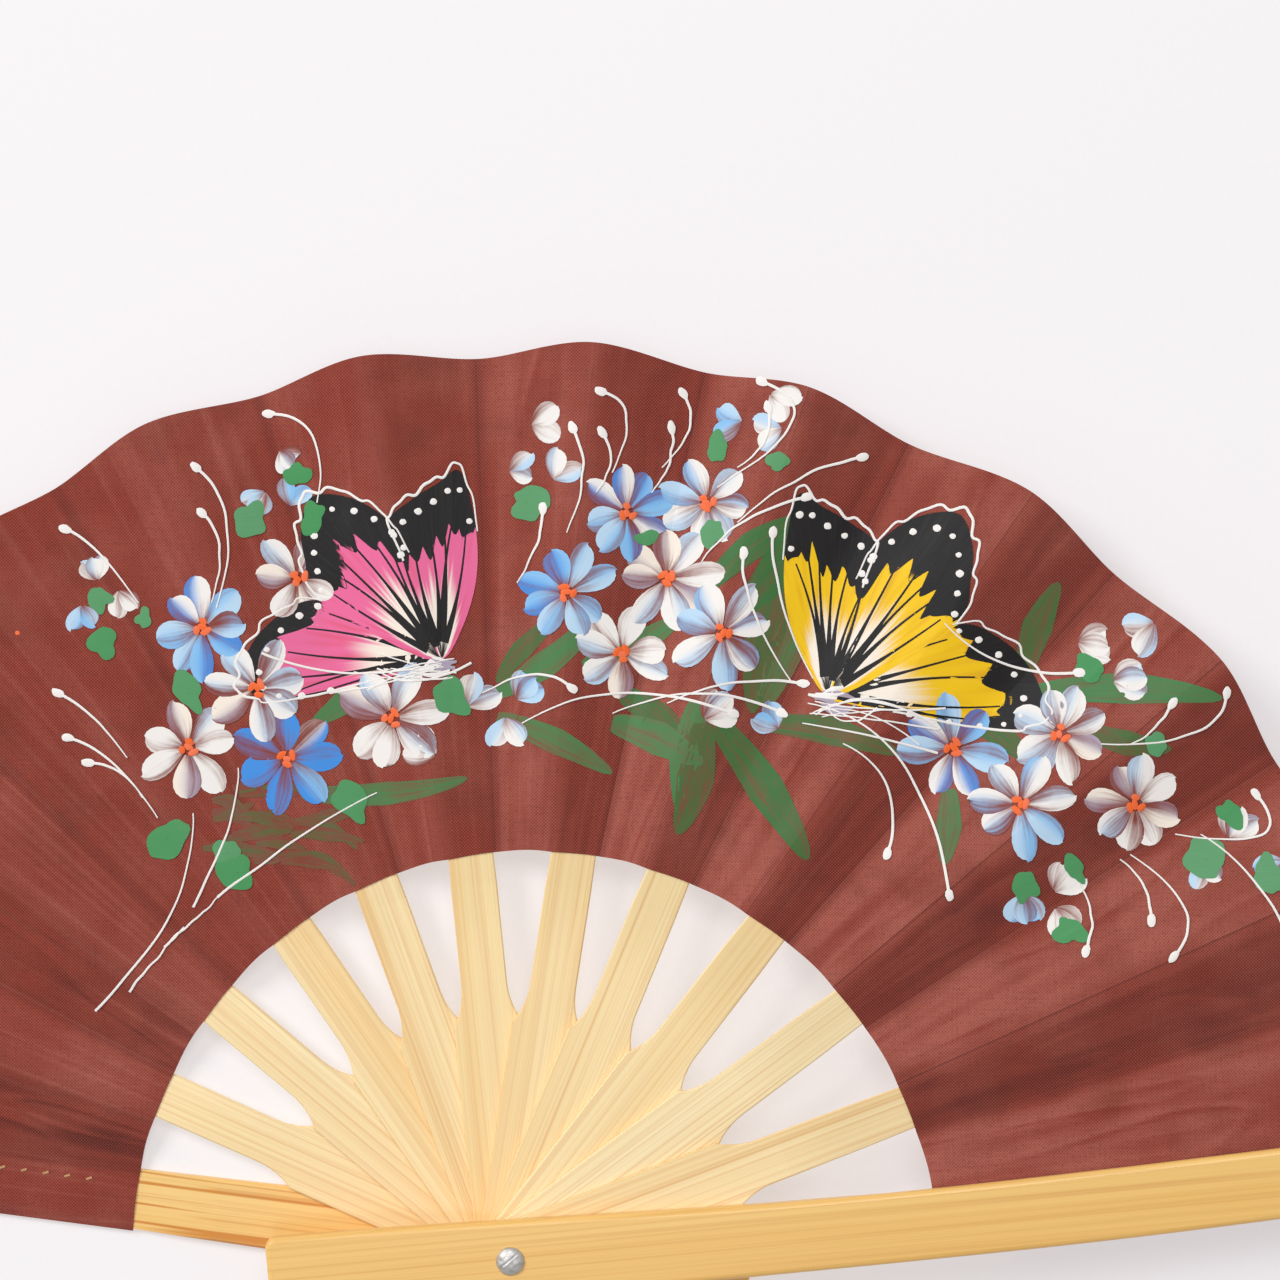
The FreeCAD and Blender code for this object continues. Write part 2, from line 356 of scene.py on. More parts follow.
@dataclass(frozen=True)
class LeafCloth:
    """Thin dyed cotton, paler with wear on its ridges, with painted shade down its valleys and on faces that
    lean from the key light, painted light on faces that lean to it, painted sheen streaks, and painted
    highlights and shade in its weave.
    """

    name: str
    dye: Colour = srgb(144, 57, 43)
    # The darker tone that the painted shade, the slubs, the weave's pit shade and the grit mix towards.
    deep: Colour = srgb(90, 35, 29)
    # The paler tone, for patches of wear and wear on the ridges, and also for the painted light, sheen and
    # thread highlights.
    faded_and_lit: Colour = srgb(174, 96, 82)
    yarn: float = 0.64 * MM

    def material(self) -> bpy.types.Material:
        """Build the cloth material on the cut's own coordinates.

        Returns:
            The material.
        """
        f = Finish(self.name)
        cut = f.node("ShaderNodeUVMap", {"uv_map": "cut"}, {}).outputs[0]
        parts = f.node("ShaderNodeSeparateXYZ", {}, {"Vector": cut})
        across, along = Value(f, parts.outputs[0]), Value(f, parts.outputs[1])
        pitch = 2 * math.pi / self.yarn
        weft = (along * pitch).sine()
        warp = (across * pitch).sine()
        slub = f.noise(f.stretched(cut, (2300.0, 160.0, 1.0)), 1.0)
        slub_across = f.noise(f.stretched(cut, (160.0, 2300.0, 1.0)), 1.0)
        weave = weft * warp * 0.5 + 0.5
        patches = f.noise(cut, 4.0, 38.0)
        veil = f.noise(f.stretched(cut, (60.0, 75.0, 1.0)), 2.0)
        grit = f.noise(cut, 1.0, 1700.0)
        crease = Value(f, f.attribute("crease", "Fac"))
        streak = Value(f, f.attribute("streak", "Fac"))
        face = Value(f, f.attribute("face", "Fac"))
        # Paler with random patches of wear, with wear on the ridges, and with painted sheen streaks.
        wear_and_light = patches.ramp(0.4, 0.7) * 0.5 + crease.ramp(0.1, 1.0) * 0.15 + streak * 0.6
        # Painted light: faces that lean towards the key light turn paler.
        wear_and_light = wear_and_light + face.ramp(0.0, 1.4) * 0.85
        # Random darker blotches, painted as the shade of dents.
        dent_shade = veil.ramp(0.5, 0.75) * 0.3
        # Painted shade: darker down the valleys, in the dent blotches, and on faces that lean away from the
        # key light.
        shade = (crease * -1.0).ramp(0.1, 1.0) * 0.36 + dent_shade + (face * -1.0).ramp(0.0, 1.4) * 0.85
        ground = f.mixed(wear_and_light.clamped(), self.dye, self.faded_and_lit)
        shaded = f.mixed(shade.clamped(), ground, self.deep)
        threads = f.mixed((slub * 0.5 + slub_across * 0.5).ramp(0.42, 0.66) * 0.2, shaded, self.deep)
        # Painted highlights on the weave's thread tops.
        thread_highlights = f.mixed(weave.ramp(0.45, 1.0) * 0.55, threads, self.faded_and_lit)
        # Painted shade in the weave's pits, mixed with darker grit specks.
        pit_shade = (weave * -1.0).ramp(-0.5, 0.0) * 0.55
        grit_and_pit_shade = f.mixed(pit_shade + grit.ramp(0.55, 0.75) * 0.28, thread_highlights, self.deep)
        f.surface(
            Base_Color=grit_and_pit_shade,
            Roughness=0.86 - crease.ramp(0.2, 1.0) * 0.12,
            Sheen_Weight=0.08,
            Sheen_Roughness=0.5,
            Sheen_Tint=(*srgb(230, 190, 190), 1.0),
            Specular_IOR_Level=0.25,
        )
        f.bump(weave + slub * 0.6 + slub_across * 0.6, 0.00007, 0.8)
        return f.material


@dataclass(frozen=True)
class Acrylic:
    """Brushed acrylic paint, thin enough in places that the cloth shows through."""

    name: str
    cloth: Colour = srgb(136, 64, 54)

    def material(self) -> bpy.types.Material:
        """Build the paint material, which reads each stroke's colour and direction.

        Returns:
            The material.
        """
        f = Finish(self.name)
        colour = f.attribute("paint", "Color")
        cover = Value(f, f.attribute("paint", "Alpha"))
        brush = f.attribute("brush", "Vector")
        hairs = f.noise(f.stretched(brush, (90.0, 1900.0, 1.0)), 3.0)
        broad = f.noise(f.stretched(brush, (60.0, 520.0, 1.0)), 2.0)
        dabs = f.noise(brush, 2.0, 420.0)
        body = cover + (hairs - 0.5) * 0.8 + (broad - 0.5) * 0.9 + (dabs - 0.5) * 0.3
        laid = f.mixed(body.ramp(0.1, 0.95), self.cloth, colour)
        lit = f.mixed(hairs.ramp(0.5, 0.8) * 0.012, laid, (1.0, 1.0, 1.0))
        f.surface(
            Base_Color=lit,
            Roughness=0.42 + dabs * 0.14,
            Specular_IOR_Level=0.3,
        )
        f.bump(hairs * 0.6 + broad * 0.4, 0.00008, 0.7)
        return f.material


@dataclass(frozen=True)
class RivetMetal:
    """Dull grey metal with fine scratches and small hammer marks."""

    name: str
    tone: Colour = srgb(214, 212, 208)

    def material(self) -> bpy.types.Material:
        """Build the metal material.

        Returns:
            The material.
        """
        f = Finish(self.name)
        marks = f.noise(f.along(0.0, (1000.0, 1000.0, 1000.0)), 3.0)
        scratches = f.noise(f.along(math.radians(38), (500.0, 9000.0, 900.0)), 2.0)
        colour = f.mixed(marks.ramp(0.4, 0.7) * 0.5, self.tone, srgb(160, 158, 156))
        f.surface(
            Base_Color=colour,
            Metallic=0.75,
            Roughness=0.36 + marks * 0.2 + scratches * 0.1,
        )
        f.bump(marks * 0.6 + scratches * 0.4, 0.0001, 0.8)
        return f.material


@dataclass(frozen=True)
class Thread:
    """Twisted tan sewing thread."""

    name: str
    turn: float
    tone: Colour = srgb(205, 160, 110)

    def material(self) -> bpy.types.Material:
        """Build the thread material.

        Returns:
            The material.
        """
        f = Finish(self.name)
        twist = f.noise(f.along(self.turn + 0.7, (2500.0, 9000.0, 2500.0)), 1.0)
        colour = f.mixed(twist.ramp(0.4, 0.7) * 0.6, self.tone, srgb(140, 90, 60))
        f.surface(Base_Color=colour, Roughness=0.8)
        f.bump(twist, 0.00005, 0.8)
        return f.material


@dataclass(frozen=True)
class Board:
    """A plain pale matt board to lie on, bright as if lit from all round."""

    name: str
    tone: Colour = srgb(178, 175, 177)
    glow: Colour = srgb(188, 186, 187)

    def material(self) -> bpy.types.Material:
        """Build the board's material.

        Returns:
            The material.
        """
        f = Finish(self.name)
        grain = f.noise(f.along(0.0, (900.0, 900.0, 900.0)), 2.0)
        colour = f.mixed(grain.ramp(0.3, 0.8) * 0.25, self.tone, srgb(170, 168, 172))
        f.surface(
            Base_Color=colour,
            Roughness=0.7,
            Specular_IOR_Level=0.1,
            Emission_Color=self.glow,
            Emission_Strength=1.0,
        )
        f.bump(grain, 0.00006, 0.4)
        return f.material


# ----------------------------------------------------------------- mesh helpers


def object_of(name: str, points: Sequence[Sequence[float]],
              faces: Sequence[Sequence[int]]) -> bpy.types.Object:
    """Make an object at the origin.

    Args:
        name: Its name.
        points: Its points, in metres.
        faces: The points of each face.

    Returns:
        The object.
    """
    mesh = bpy.data.meshes.new(name)
    mesh.from_pydata([tuple(map(float, p)) for p in points], [], [tuple(map(int, f)) for f in faces])
    mesh.update()
    made = bpy.data.objects.new(name, mesh)
    bpy.context.scene.collection.objects.link(made)
    return made


def grid_faces(rows: int, columns: int) -> list[tuple[int, ...]]:
    """The faces of a grid whose points run along one row after another.

    Args:
        rows: Faces from the first row of points to the last.
        columns: Faces along a row.

    Returns:
        The points of each face.
    """
    faces = []
    width = columns + 1
    for row in range(rows):
        for column in range(columns):
            corner = row * width + column
            faces.append((corner, corner + 1, corner + width + 1, corner + width))
    return faces


def dress_node(name: str, material: bpy.types.Material) -> None:
    """Give a CAD node one material.

    Args:
        name: The node's name.
        material: The material for the whole of it.
    """
    node = frame["nodes"][name]
    node.data.materials.clear()
    node.data.materials.append(material)


def only(piece: bpy.types.Object) -> None:
    """Select one object alone and make it active.

    Args:
        piece: The object.
    """
    bpy.ops.object.select_all(action="DESELECT")
    piece.select_set(True)
    bpy.context.view_layer.objects.active = piece


def smooth_faces(piece: bpy.types.Object) -> None:
    """Shade every face of a sheet smooth, and keep its open edges sharp.

    Args:
        piece: The sheet, before it gets its thickness.
    """
    mesh = piece.data
    mesh.polygons.foreach_set("use_smooth", [True] * len(mesh.polygons))
    uses = np.zeros(len(mesh.edges), dtype=int)
    for loop in mesh.loops:
        uses[loop.edge_index] += 1
    sharp = mesh.attributes.get("sharp_edge") or mesh.attributes.new("sharp_edge", "BOOLEAN", "EDGE")
    sharp.data.foreach_set("value", uses < 2)
    mesh.update()


def set_heights(piece: bpy.types.Object, heights: Sequence[float]) -> None:
    """Move each point of a piece up or down.

    Args:
        piece: The piece.
        heights: The new height of each point, in metres.
    """
    place = np.empty(len(piece.data.vertices) * 3)
    piece.data.vertices.foreach_get("co", place)
    place[2::3] = heights
    piece.data.vertices.foreach_set("co", place)
    piece.data.update()


def thicken(piece: bpy.types.Object, thickness: float, offset: float) -> None:
    """Give a sheet its thickness, with a closed rim.

    Args:
        piece: The sheet.
        thickness: Its thickness, in metres.
        offset: -1 to grow below the sheet, 1 above it, and 0 to both sides.
    """
    solid = piece.modifiers.new("thickness", "SOLIDIFY")
    solid.thickness = thickness
    solid.offset = offset
    solid.use_rim = True


# ----------------------------------------------------------------------- leaf


class Fold(Enum):
    """Which way a crease of the leaf points."""

    RIDGE = 1
    VALLEY = -1


@dataclass(frozen=True)
class Crease:
    """A straight crease of the leaf, from its inner edge to its outer edge."""

    fold: Fold
    start: np.ndarray
    run: np.ndarray
    inner: float
    outer: float

    def at(self, distance: float) -> np.ndarray:
        """The point at a distance along the crease."""
        return self.start + self.run * distance

    def along(self, share: float) -> float:
        """The distance along the crease at a share of its length."""
        return self.inner + (self.outer - self.inner) * share

    def off(self, x: float, y: float) -> float:
        """How far a place lies from the crease, seen from above."""
        return abs((x - self.start[0]) * self.run[1] - (y - self.start[1]) * self.run[0])


@dataclass(frozen=True)
class Rib:
    """One rib: its body, direction, and the strip of leaf that is glued along it."""

    body: str
    node: str
    strip: str
    angle: float
    level: float
    slope: float
    reach: float | None

    def side(self, x: float, y: float) -> float:
        """How far a place lies to the left of the rib's middle line."""
        return -x * math.sin(self.angle) + y * math.cos(self.angle)


@dataclass(frozen=True)
class Strip:
    """One strip of the leaf between two creases."""

    name: str
    node: str
    bodies: tuple[str, ...]
    first: Crease
    last: Crease
    rib: Rib | None
    rests_on: tuple[str, ...]

    @property
    def glued(self) -> bool:
        """True for a strip that is glued along a rib."""
        return self.rib is not None

    def share(self, x: float, y: float) -> float:
        """How far across the strip a place lies, 0 at its first crease and 1 at its last."""
        first, last = self.first.off(x, y), self.last.off(x, y)
        return first / max(first + last, 1e-9)

    def normal(self) -> np.ndarray:
        """The direction square to both creases, upwards."""
        across = np.cross(self.first.run, self.last.run)
        return across / np.linalg.norm(across) * math.copysign(1.0, across[2])

    def flat_height(self, x: float, y: float, share: float) -> float:
        """The height of the smooth strip at a place.

        Args:
            x: The place's X.
            y: Its Y.
            share: Its share of the way across, used on a free strip.

        Returns:
            The height of the middle of the cloth.
        """
        if self.rib is not None:
            return self.rib.level + self.rib.slope * self.rib.side(x, y)
        up = self.normal()
        low, high = up @ self.first.start, up @ self.last.start
        return (low + (high - low) * share - up[0] * x - up[1] * y) / up[2]


@dataclass
class Leaf:
    """The pleated cloth leaf and everything that is measured on it.

    The edges are arcs about points a shift to the right of the rivet, and each crease's outer end
    stands out or in by the zigzag. A crease is rounded over a soft width that grows along it.
    """

    inner: float = 80.4 * MM
    inner_shift: float = 4.0 * MM
    outer: float = 181.0 * MM
    outer_shift: float = 2.0 * MM
    fold_angle: float = math.radians(3.6)
    hem_reach: float = 6.4 * MM
    tuck_reach: float = 5.0 * MM
    zigzag: float = 1.5 * MM
    scoop: float = 0.2 * MM
    cloth: float = 0.2 * MM
    rows: int = 72
    columns: int = 34
    crumple_free: float = 0.6 * MM
    crumple_glued: float = 0.2 * MM
    middle: float = 130.0 * MM
    soft_start: float = 0.8 * MM
    soft_growth: float = 0.018
    soft_depth: float = 0.075
    ridge_wear: float = 3.0 * MM
    # Width of the painted shade down each valley.
    valley_shade_width: float = 1.5 * MM
    # Direction of the key light seen from above, and the lean at which a face gets full painted light or
    # shade.
    sun: Point = (-0.5, 0.866)
    light_tilt: float = 0.21
    ribs: list[Rib] = field(init=False)
    strips: list[Strip] = field(init=False)

    def __post_init__(self) -> None:
        """Read the ribs from the frame and lay out the creases and strips."""
        self.ribs = self._ribs()
        self.strips = self._strips()

    def _ribs(self) -> list[Rib]:
        """Find the ribs in the frame.

        Returns:
            The ribs, from the rear guard to the front guard.
        """
        record = frame["record"]
        back = next(m for m in record["mounts"] if m["name"] == "rear_guard_back")
        angle = math.atan2(back["pos_m"][1], back["pos_m"][0])
        found = []
        joints = frame["joints"]
        bodies = [joints[0]["parent"]] + [joint["child"] for joint in joints]
        for number, body in enumerate(bodies):
            if number:
                angle -= math.radians(joints[number - 1]["range_deg"][1])
            nodes = record["behaviour"]["bodies"][body]
            node = next(n for n in nodes if n.startswith("stick_") or n.endswith("_guard"))
            strip = next(n for n in nodes if n.startswith("leaf_on_"))
            low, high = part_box(strip)
            reach = None
            if number == 0:
                reach = self.hem_reach
            if number == len(bodies) - 1:
                reach = self.tuck_reach
            slope = 0.0 if reach else self._slope(strip, angle)
            found.append(Rib(body, node, strip, angle, (low.z + high.z) / 2, slope, reach))
        return found

    def _slope(self, strip: str, angle: float) -> float:
        """The sideways slope of the cloth on a stick, from its CAD strip's height and width.

        Args:
            strip: The CAD strip's name.
            angle: The stick's direction, in radians.

        Returns:
            The rise to the left, as a share of the distance.
        """
        low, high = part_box(strip)
        width = 2 * math.tan(self.fold_angle) * self.edge(angle, self.outer, self.outer_shift)
        return (high.z - low.z - self.cloth) / width

    @staticmethod
    def edge(angle: float, radius: float, shift: float) -> float:
        """The distance from the rivet to an edge that is drawn about a point beside it."""
        return radius + shift * math.cos(angle)

    def _crease(self, rib: Rib, side: int, ragged: float) -> Crease:
        """The crease at one side of a rib.

        Args:
            rib: The rib.
            side: 1 for its left and -1 for its right.
            ragged: How much further out the crease ends.

        Returns:
            The crease.
        """
        fold = Fold.RIDGE if side > 0 else Fold.VALLEY
        turn = rib.angle + (0.0 if rib.reach else side * self.fold_angle)
        inner = self.edge(turn, self.inner, self.inner_shift)
        outer = self.edge(turn, self.outer, self.outer_shift) + side * self.zigzag + ragged
        run = np.array([math.cos(turn), math.sin(turn), 0.0])
        start = np.array([0.0, 0.0, rib.level])
        if rib.reach:
            start[0] = -side * rib.reach * math.sin(rib.angle)
            start[1] = side * rib.reach * math.cos(rib.angle)
            outer -= side * self.zigzag
        else:
            run[2] = side * rib.slope * math.sin(self.fold_angle)
        return Crease(fold, start, run, inner, outer)

    def _strips(self) -> list[Strip]:
        """Lay out the leaf between its creases.

        Returns:
            The strips, from the hem to the tuck under the front guard.
        """
        chance = random.Random(7)
        creases = []
        for rib in self.ribs:
            left = self._crease(rib, 1, chance.uniform(-0.5, 0.6) * MM)
            right = self._crease(rib, -1, chance.uniform(-0.5, 0.5) * MM)
            creases.append((left, right))
        found = []
        for number, rib in enumerate(self.ribs):
            left, right = creases[number]
            name = rib.strip.replace("leaf_on_", "cloth_on_")
            found.append(Strip(name, rib.strip, (rib.body,), left, right, rib, (rib.node,)))
            if number + 1 < len(self.ribs):
                after = self.ribs[number + 1]
                label = f"cloth_fold_{number + 1:02d}"
                node = f"leaf_fold_{number + 1:02d}"
                rests = (rib.node, after.node)
                bodies = (rib.body, after.body)
                found.append(Strip(label, node, bodies, right, creases[number + 1][0], None, rests))
        return found

    def strip_at(self, x: float, y: float) -> Strip:
        """The strip of the leaf over a place.

        Args:
            x: The place's X.
            y: Its Y.

        Returns:
            The strip, which is the nearest one beyond the leaf's ends.
        """
        for strip in self.strips:
            edge = strip.last
            past = (x - edge.start[0]) * edge.run[1] - (y - edge.start[1]) * edge.run[0]
            if past < 0:
                return strip
        return self.strips[-1]

    def _ripple(self, x: float, y: float, across: float, along: float, seed: float) -> float:
        """A soft random ripple that runs along the leaf's rays.

        Args:
            x: The place's X.
            y: Its Y.
            across: The ripple's length across the rays at the middle of the leaf, in millimetres.
            along: Its length along them, in millimetres.
            seed: Which ripple it is.

        Returns:
            Its height, from about -1 to 1.
        """
        lateral = math.atan2(y, x) * self.middle / MM
        radial = math.hypot(x, y) / MM
        return noise.noise(Vector((lateral / across, radial / along, seed)))

    def crumple(self, strip: Strip, x: float, y: float, share: float) -> float:
        """How far the cloth stands above the smooth strip, in soft creases and small wrinkles.

        Args:
            strip: The strip.
            x: The place's X.
            y: Its Y.
            share: Its share of the way across.

        Returns:
            The lift, which is below 0 in a dent.
        """
        width = self.soft_start + self.soft_growth * math.hypot(x, y)
        lift = 0.0
        for crease in (strip.first, strip.last):
            near = max(0.0, 1 - crease.off(x, y) / width)
            lift -= crease.fold.value * self.soft_depth * width * near * near
        free = math.sin(math.pi * min(max(share, 0.0), 1.0))
        long_wave = self._ripple(x, y, 8.5, 60, 1.7)
        short_wave = self._ripple(x, y, 3.6, 24, 9.2)
        pucker = noise.noise(Vector((x / MM / 11, y / MM / 11, 4.4)))
        line = max(0.0, 1 - abs(self._ripple(x, y, 7.0, 45, 21.3)) * 7) ** 2
        wave = long_wave + 0.3 * short_wave + 0.6 * pucker + 0.25 * line
        if strip.glued:
            return lift + self.crumple_glued * free * abs(wave)
        return lift + self.crumple_free * free * wave

    def height(self, strip: Strip, x: float, y: float) -> float:
        """The height of the middle of the cloth at a place."""
        share = strip.share(x, y)
        return strip.flat_height(x, y, share) + self.crumple(strip, x, y, share)

    def light_facing(self, strip: Strip, x: float, y: float) -> float:
        """How far the open leaf's cloth leans towards the key light, for its painted light and shade.

        Args:
            strip: The strip.
            x: The place's X.
            y: Its Y.

        Returns:
            0 on the level, 1 where it leans to the key light by the light's tilt (full painted light), and -1
            where it leans away (full painted shade).
        """
        step = 0.8 * MM
        here = self.height(strip, x, y)
        rise_x = (self.height(strip, x + step, y) - here) / step
        rise_y = (self.height(strip, x, y + step) - here) / step
        return -(rise_x * self.sun[0] + rise_y * self.sun[1]) / self.light_tilt

    def attach(self, piece: bpy.types.Object, strip: Strip) -> None:
        """Make a piece ride on its rib where its strip is glued; on a free strip it is not made to fold
        between two ribs.

        A piece on a free strip has its points put at the heights for an eased share of the way
        across. They differ from the strip's own by under a cloth's thickness.

        Args:
            piece: The cloth or the paint on it.
            strip: Its strip.
        """
        if strip.glued:
            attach(piece, strip.bodies[0])
            return
        heights = []
        for vertex in piece.data.vertices:
            share = min(max(strip.share(vertex.co.x, vertex.co.y), 0.0), 1.0)
            eased = 0.5 - math.sin(math.asin(1 - 2 * share) / 3)
            heights.append(strip.flat_height(vertex.co.x, vertex.co.y, eased))
        set_heights(piece, heights)
        up = strip.normal()
        begin = strip.first.start
        rise = up @ (strip.last.start - begin)
        tuple(begin)
        tuple(begin + up * rise)
        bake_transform(piece)

    def _edge_line(self, strip: Strip, first: float, last: float) -> list[Point]:
        """One soft edge of a strip, level with the crease where it meets each crease.

        Args:
            strip: The strip.
            first: The edge's distance along the strip's first crease.
            last: Its distance along the last crease.

        Returns:
            Places from the first crease to the last.
        """
        begin, end = strip.first.at(first), strip.last.at(last)
        near, far = math.hypot(begin[0], begin[1]), math.hypot(end[0], end[1])
        line = []
        for column in range(self.columns + 1):
            across = column / self.columns
            x, y = begin[0] + (end[0] - begin[0]) * across, begin[1] + (end[1] - begin[1]) * across
            reach = near + (far - near) * smooth(across)
            if not strip.glued and first < self.middle:
                reach += self.scoop * math.sin(math.pi * across)
            size = reach / math.hypot(x, y)
            line.append((float(x * size), float(y * size)))
        return line

    def plan(self, strip: Strip) -> list[Point]:
        """The plan of a strip as a grid of places.

        Args:
            strip: The strip.

        Returns:
            The places, row after row from the inner edge to the outer.
        """
        inner = self._edge_line(strip, strip.first.inner, strip.last.inner)
        outer = self._edge_line(strip, strip.first.outer, strip.last.outer)
        places = []
        for row in range(self.rows + 1):
            share = row / self.rows
            for near, far in zip(inner, outer):
                places.append(mix(near, far, share))
        return places

    def build_strip(self, strip: Strip, cloth: bpy.types.Material) -> bpy.types.Object:
        """Make one strip of cloth; a glued strip hangs on its rib, and a free strip is only set in place.

        Args:
            strip: The strip.
            cloth: Its material.

        Returns:
            The piece.
        """
        places = self.plan(strip)
        flat = [(x, y, strip.flat_height(x, y, strip.share(x, y))) for x, y in places]
        piece = object_of(strip.name, flat, grid_faces(self.rows, self.columns))
        if piece.data.polygons[0].normal.z < 0:
            piece.data.flip_normals()
        self.attach(piece, strip)
        set_heights(piece, [self.height(strip, x, y) for x, y in places])
        self._mark(piece, strip, places)
        smooth_faces(piece)
        thicken(piece, self.cloth, 0.0)
        piece.data.materials.append(cloth)
        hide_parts(strip.node)
        self._declare(strip)
        return piece

    def _mark(self, piece: bpy.types.Object, strip: Strip, places: list[Point]) -> None:
        """Write what the cloth's material reads: the cut's coordinates, the creases, the painted sheen
        streaks and the painted light and shade of each face.

        Args:
            piece: The cloth.
            strip: Its strip.
            places: The place of each point.
        """
        cut = piece.data.uv_layers.new(name="cut")
        for loop in piece.data.loops:
            cut.data[loop.index].uv = places[loop.vertex_index]
        folds, sheen_streaks, faces = [], [], []
        for x, y in places:
            # Painted light and shade: how far each place leans towards the key light.
            faces.append(self.light_facing(strip, x, y))
            value = 0.0
            # Ridges count up, for wear; valleys count down, for the painted shade down each valley.
            for edge in (strip.first, strip.last):
                width = self.ridge_wear if edge.fold is Fold.RIDGE else self.valley_shade_width
                value += edge.fold.value * math.exp(-((edge.off(x, y) / width) ** 2))
            folds.append(value)
            # Painted sheen: bright streaks along the rays, stronger towards the left.
            line = noise.noise(Vector((math.atan2(y, x) * 110, math.hypot(x, y) * 22, 3.3)))
            sheen_streaks.append(max(0.0, line - 0.12) * (1.0 + max(0.0, -x) * 6))
        for name, values in (("crease", folds), ("streak", sheen_streaks), ("face", faces)):
            layer = piece.data.attributes.new(name, "FLOAT", "POINT")
            layer.data.foreach_set("value", values)

    def _declare(self, strip: Strip) -> None:
        """Work out the flat size of a strip of cloth from the lengths of its creases and ends; the size is
        not used.

        Args:
            strip: Its strip.
        """
        inner = np.linalg.norm(strip.first.at(strip.first.inner) - strip.last.at(strip.last.inner))
        outer = np.linalg.norm(strip.first.at(strip.first.outer) - strip.last.at(strip.last.outer))
        length = (strip.first.outer - strip.first.inner + strip.last.outer - strip.last.inner) / 2
        area = (inner + outer) / 2 * length
        size = (max(float(inner), float(outer)), float(length))
        area = min(area, size[0] * size[1])
        list(strip.rests_on)

    def build(self, cloth: bpy.types.Material) -> list[bpy.types.Object]:
        """Make every strip of the leaf."""
        return [self.build_strip(strip, cloth) for strip in self.strips]


# ------------------------------------------------------------------- painting


@dataclass
class Patch:
    """One stroke of paint: its places in millimetres, lifts, colours, brush coordinates and faces."""

    places: list[Point]
    lifts: list[float]
    colours: list[tuple[float, ...]]
    brush: list[tuple[float, float]]
    faces: list[tuple[int, ...]]


class Tint(Enum):
    """The paints on the leaf."""

    WHITE = srgb(246, 241, 236)
    CREAM = srgb(250, 238, 224)
    PALE = srgb(190, 220, 244)
    SKY = srgb(138, 194, 240)
    BLUE = srgb(66, 146, 228)
    LILAC = srgb(176, 164, 182)
    GREEN = srgb(66, 148, 86)
    MOSS = srgb(56, 112, 56)
    FERN = srgb(72, 128, 74)
    ORANGE = srgb(246, 104, 40)
    PINK = srgb(238, 108, 158)
    ROSE = srgb(228, 84, 112)
    YELLOW = srgb(250, 202, 12)
    AMBER = srgb(226, 166, 20)
    BLACK = srgb(24, 21, 22)


def turned(centre: Point, x: float, y: float, turn: float) -> Point:
    """A place beside a centre.

    Args:
        centre: The centre.
        x: How far ahead the place lies.
        y: How far to the left.
        turn: The direction of ahead, in radians.

    Returns:
        The place.
    """
    return (
        centre[0] + x * math.cos(turn) - y * math.sin(turn),
        centre[1] + x * math.sin(turn) + y * math.cos(turn),
    )


def bezier(first: Point, control: Point, last: Point, count: int) -> list[Point]:
    """Points along a curve.

    Args:
        first: Where it starts.
        control: What it starts towards, and ends as if it came from.
        last: Where it ends.
        count: Steps along it.

    Returns:
        The points.
    """
    points = []
    for number in range(count + 1):
        t = number / count
        a, b, c = (1 - t) ** 2, 2 * t * (1 - t), t * t
        points.append((
            a * first[0] + b * control[0] + c * last[0],
            a * first[1] + b * control[1] + c * last[1],
        ))
    return points


def rounded(corners: Sequence[Point], steps: int) -> list[Point]:
    """A smooth closed curve.

    Args:
        corners: The points that it passes through.
        steps: Steps from one corner to the next.

    Returns:
        The points.
    """
    points = []
    count = len(corners)
    for number in range(count):
        p0, p1, p2, p3 = (corners[(number + k) % count] for k in (-1, 0, 1, 2))
        for step in range(steps):
            t = step / steps
            values = []
            for axis in (0, 1):
                a, b, c, d = p0[axis], p1[axis], p2[axis], p3[axis]
                values.append(0.5 * (2 * b + (c - a) * t + (2 * a - 5 * b + 4 * c - d) * t ** 2
                                     + (3 * b - a - 3 * c + d) * t ** 3))
            points.append((values[0], values[1]))
    return points


class Wing(Enum):
    """The wings of a butterfly seen from its side: each one's outline from its body round and back."""

    FAR = ((0, 0), (1, 12), (5, 24), (9, 31), (16, 36), (24, 37), (27, 31), (27, 24), (25, 16), (10, 4))
    FORE = ((0, 0), (-5, 6), (-9, 16), (-10, 27), (-8, 39), (-3, 37), (3, 34), (8, 30), (6, 22), (3, 10))
    HIND = ((0, 0), (12, 9), (25, 15), (33, 13), (40, 7), (43, -1), (38, -5), (28, -5), (14, -3), (5, -2))


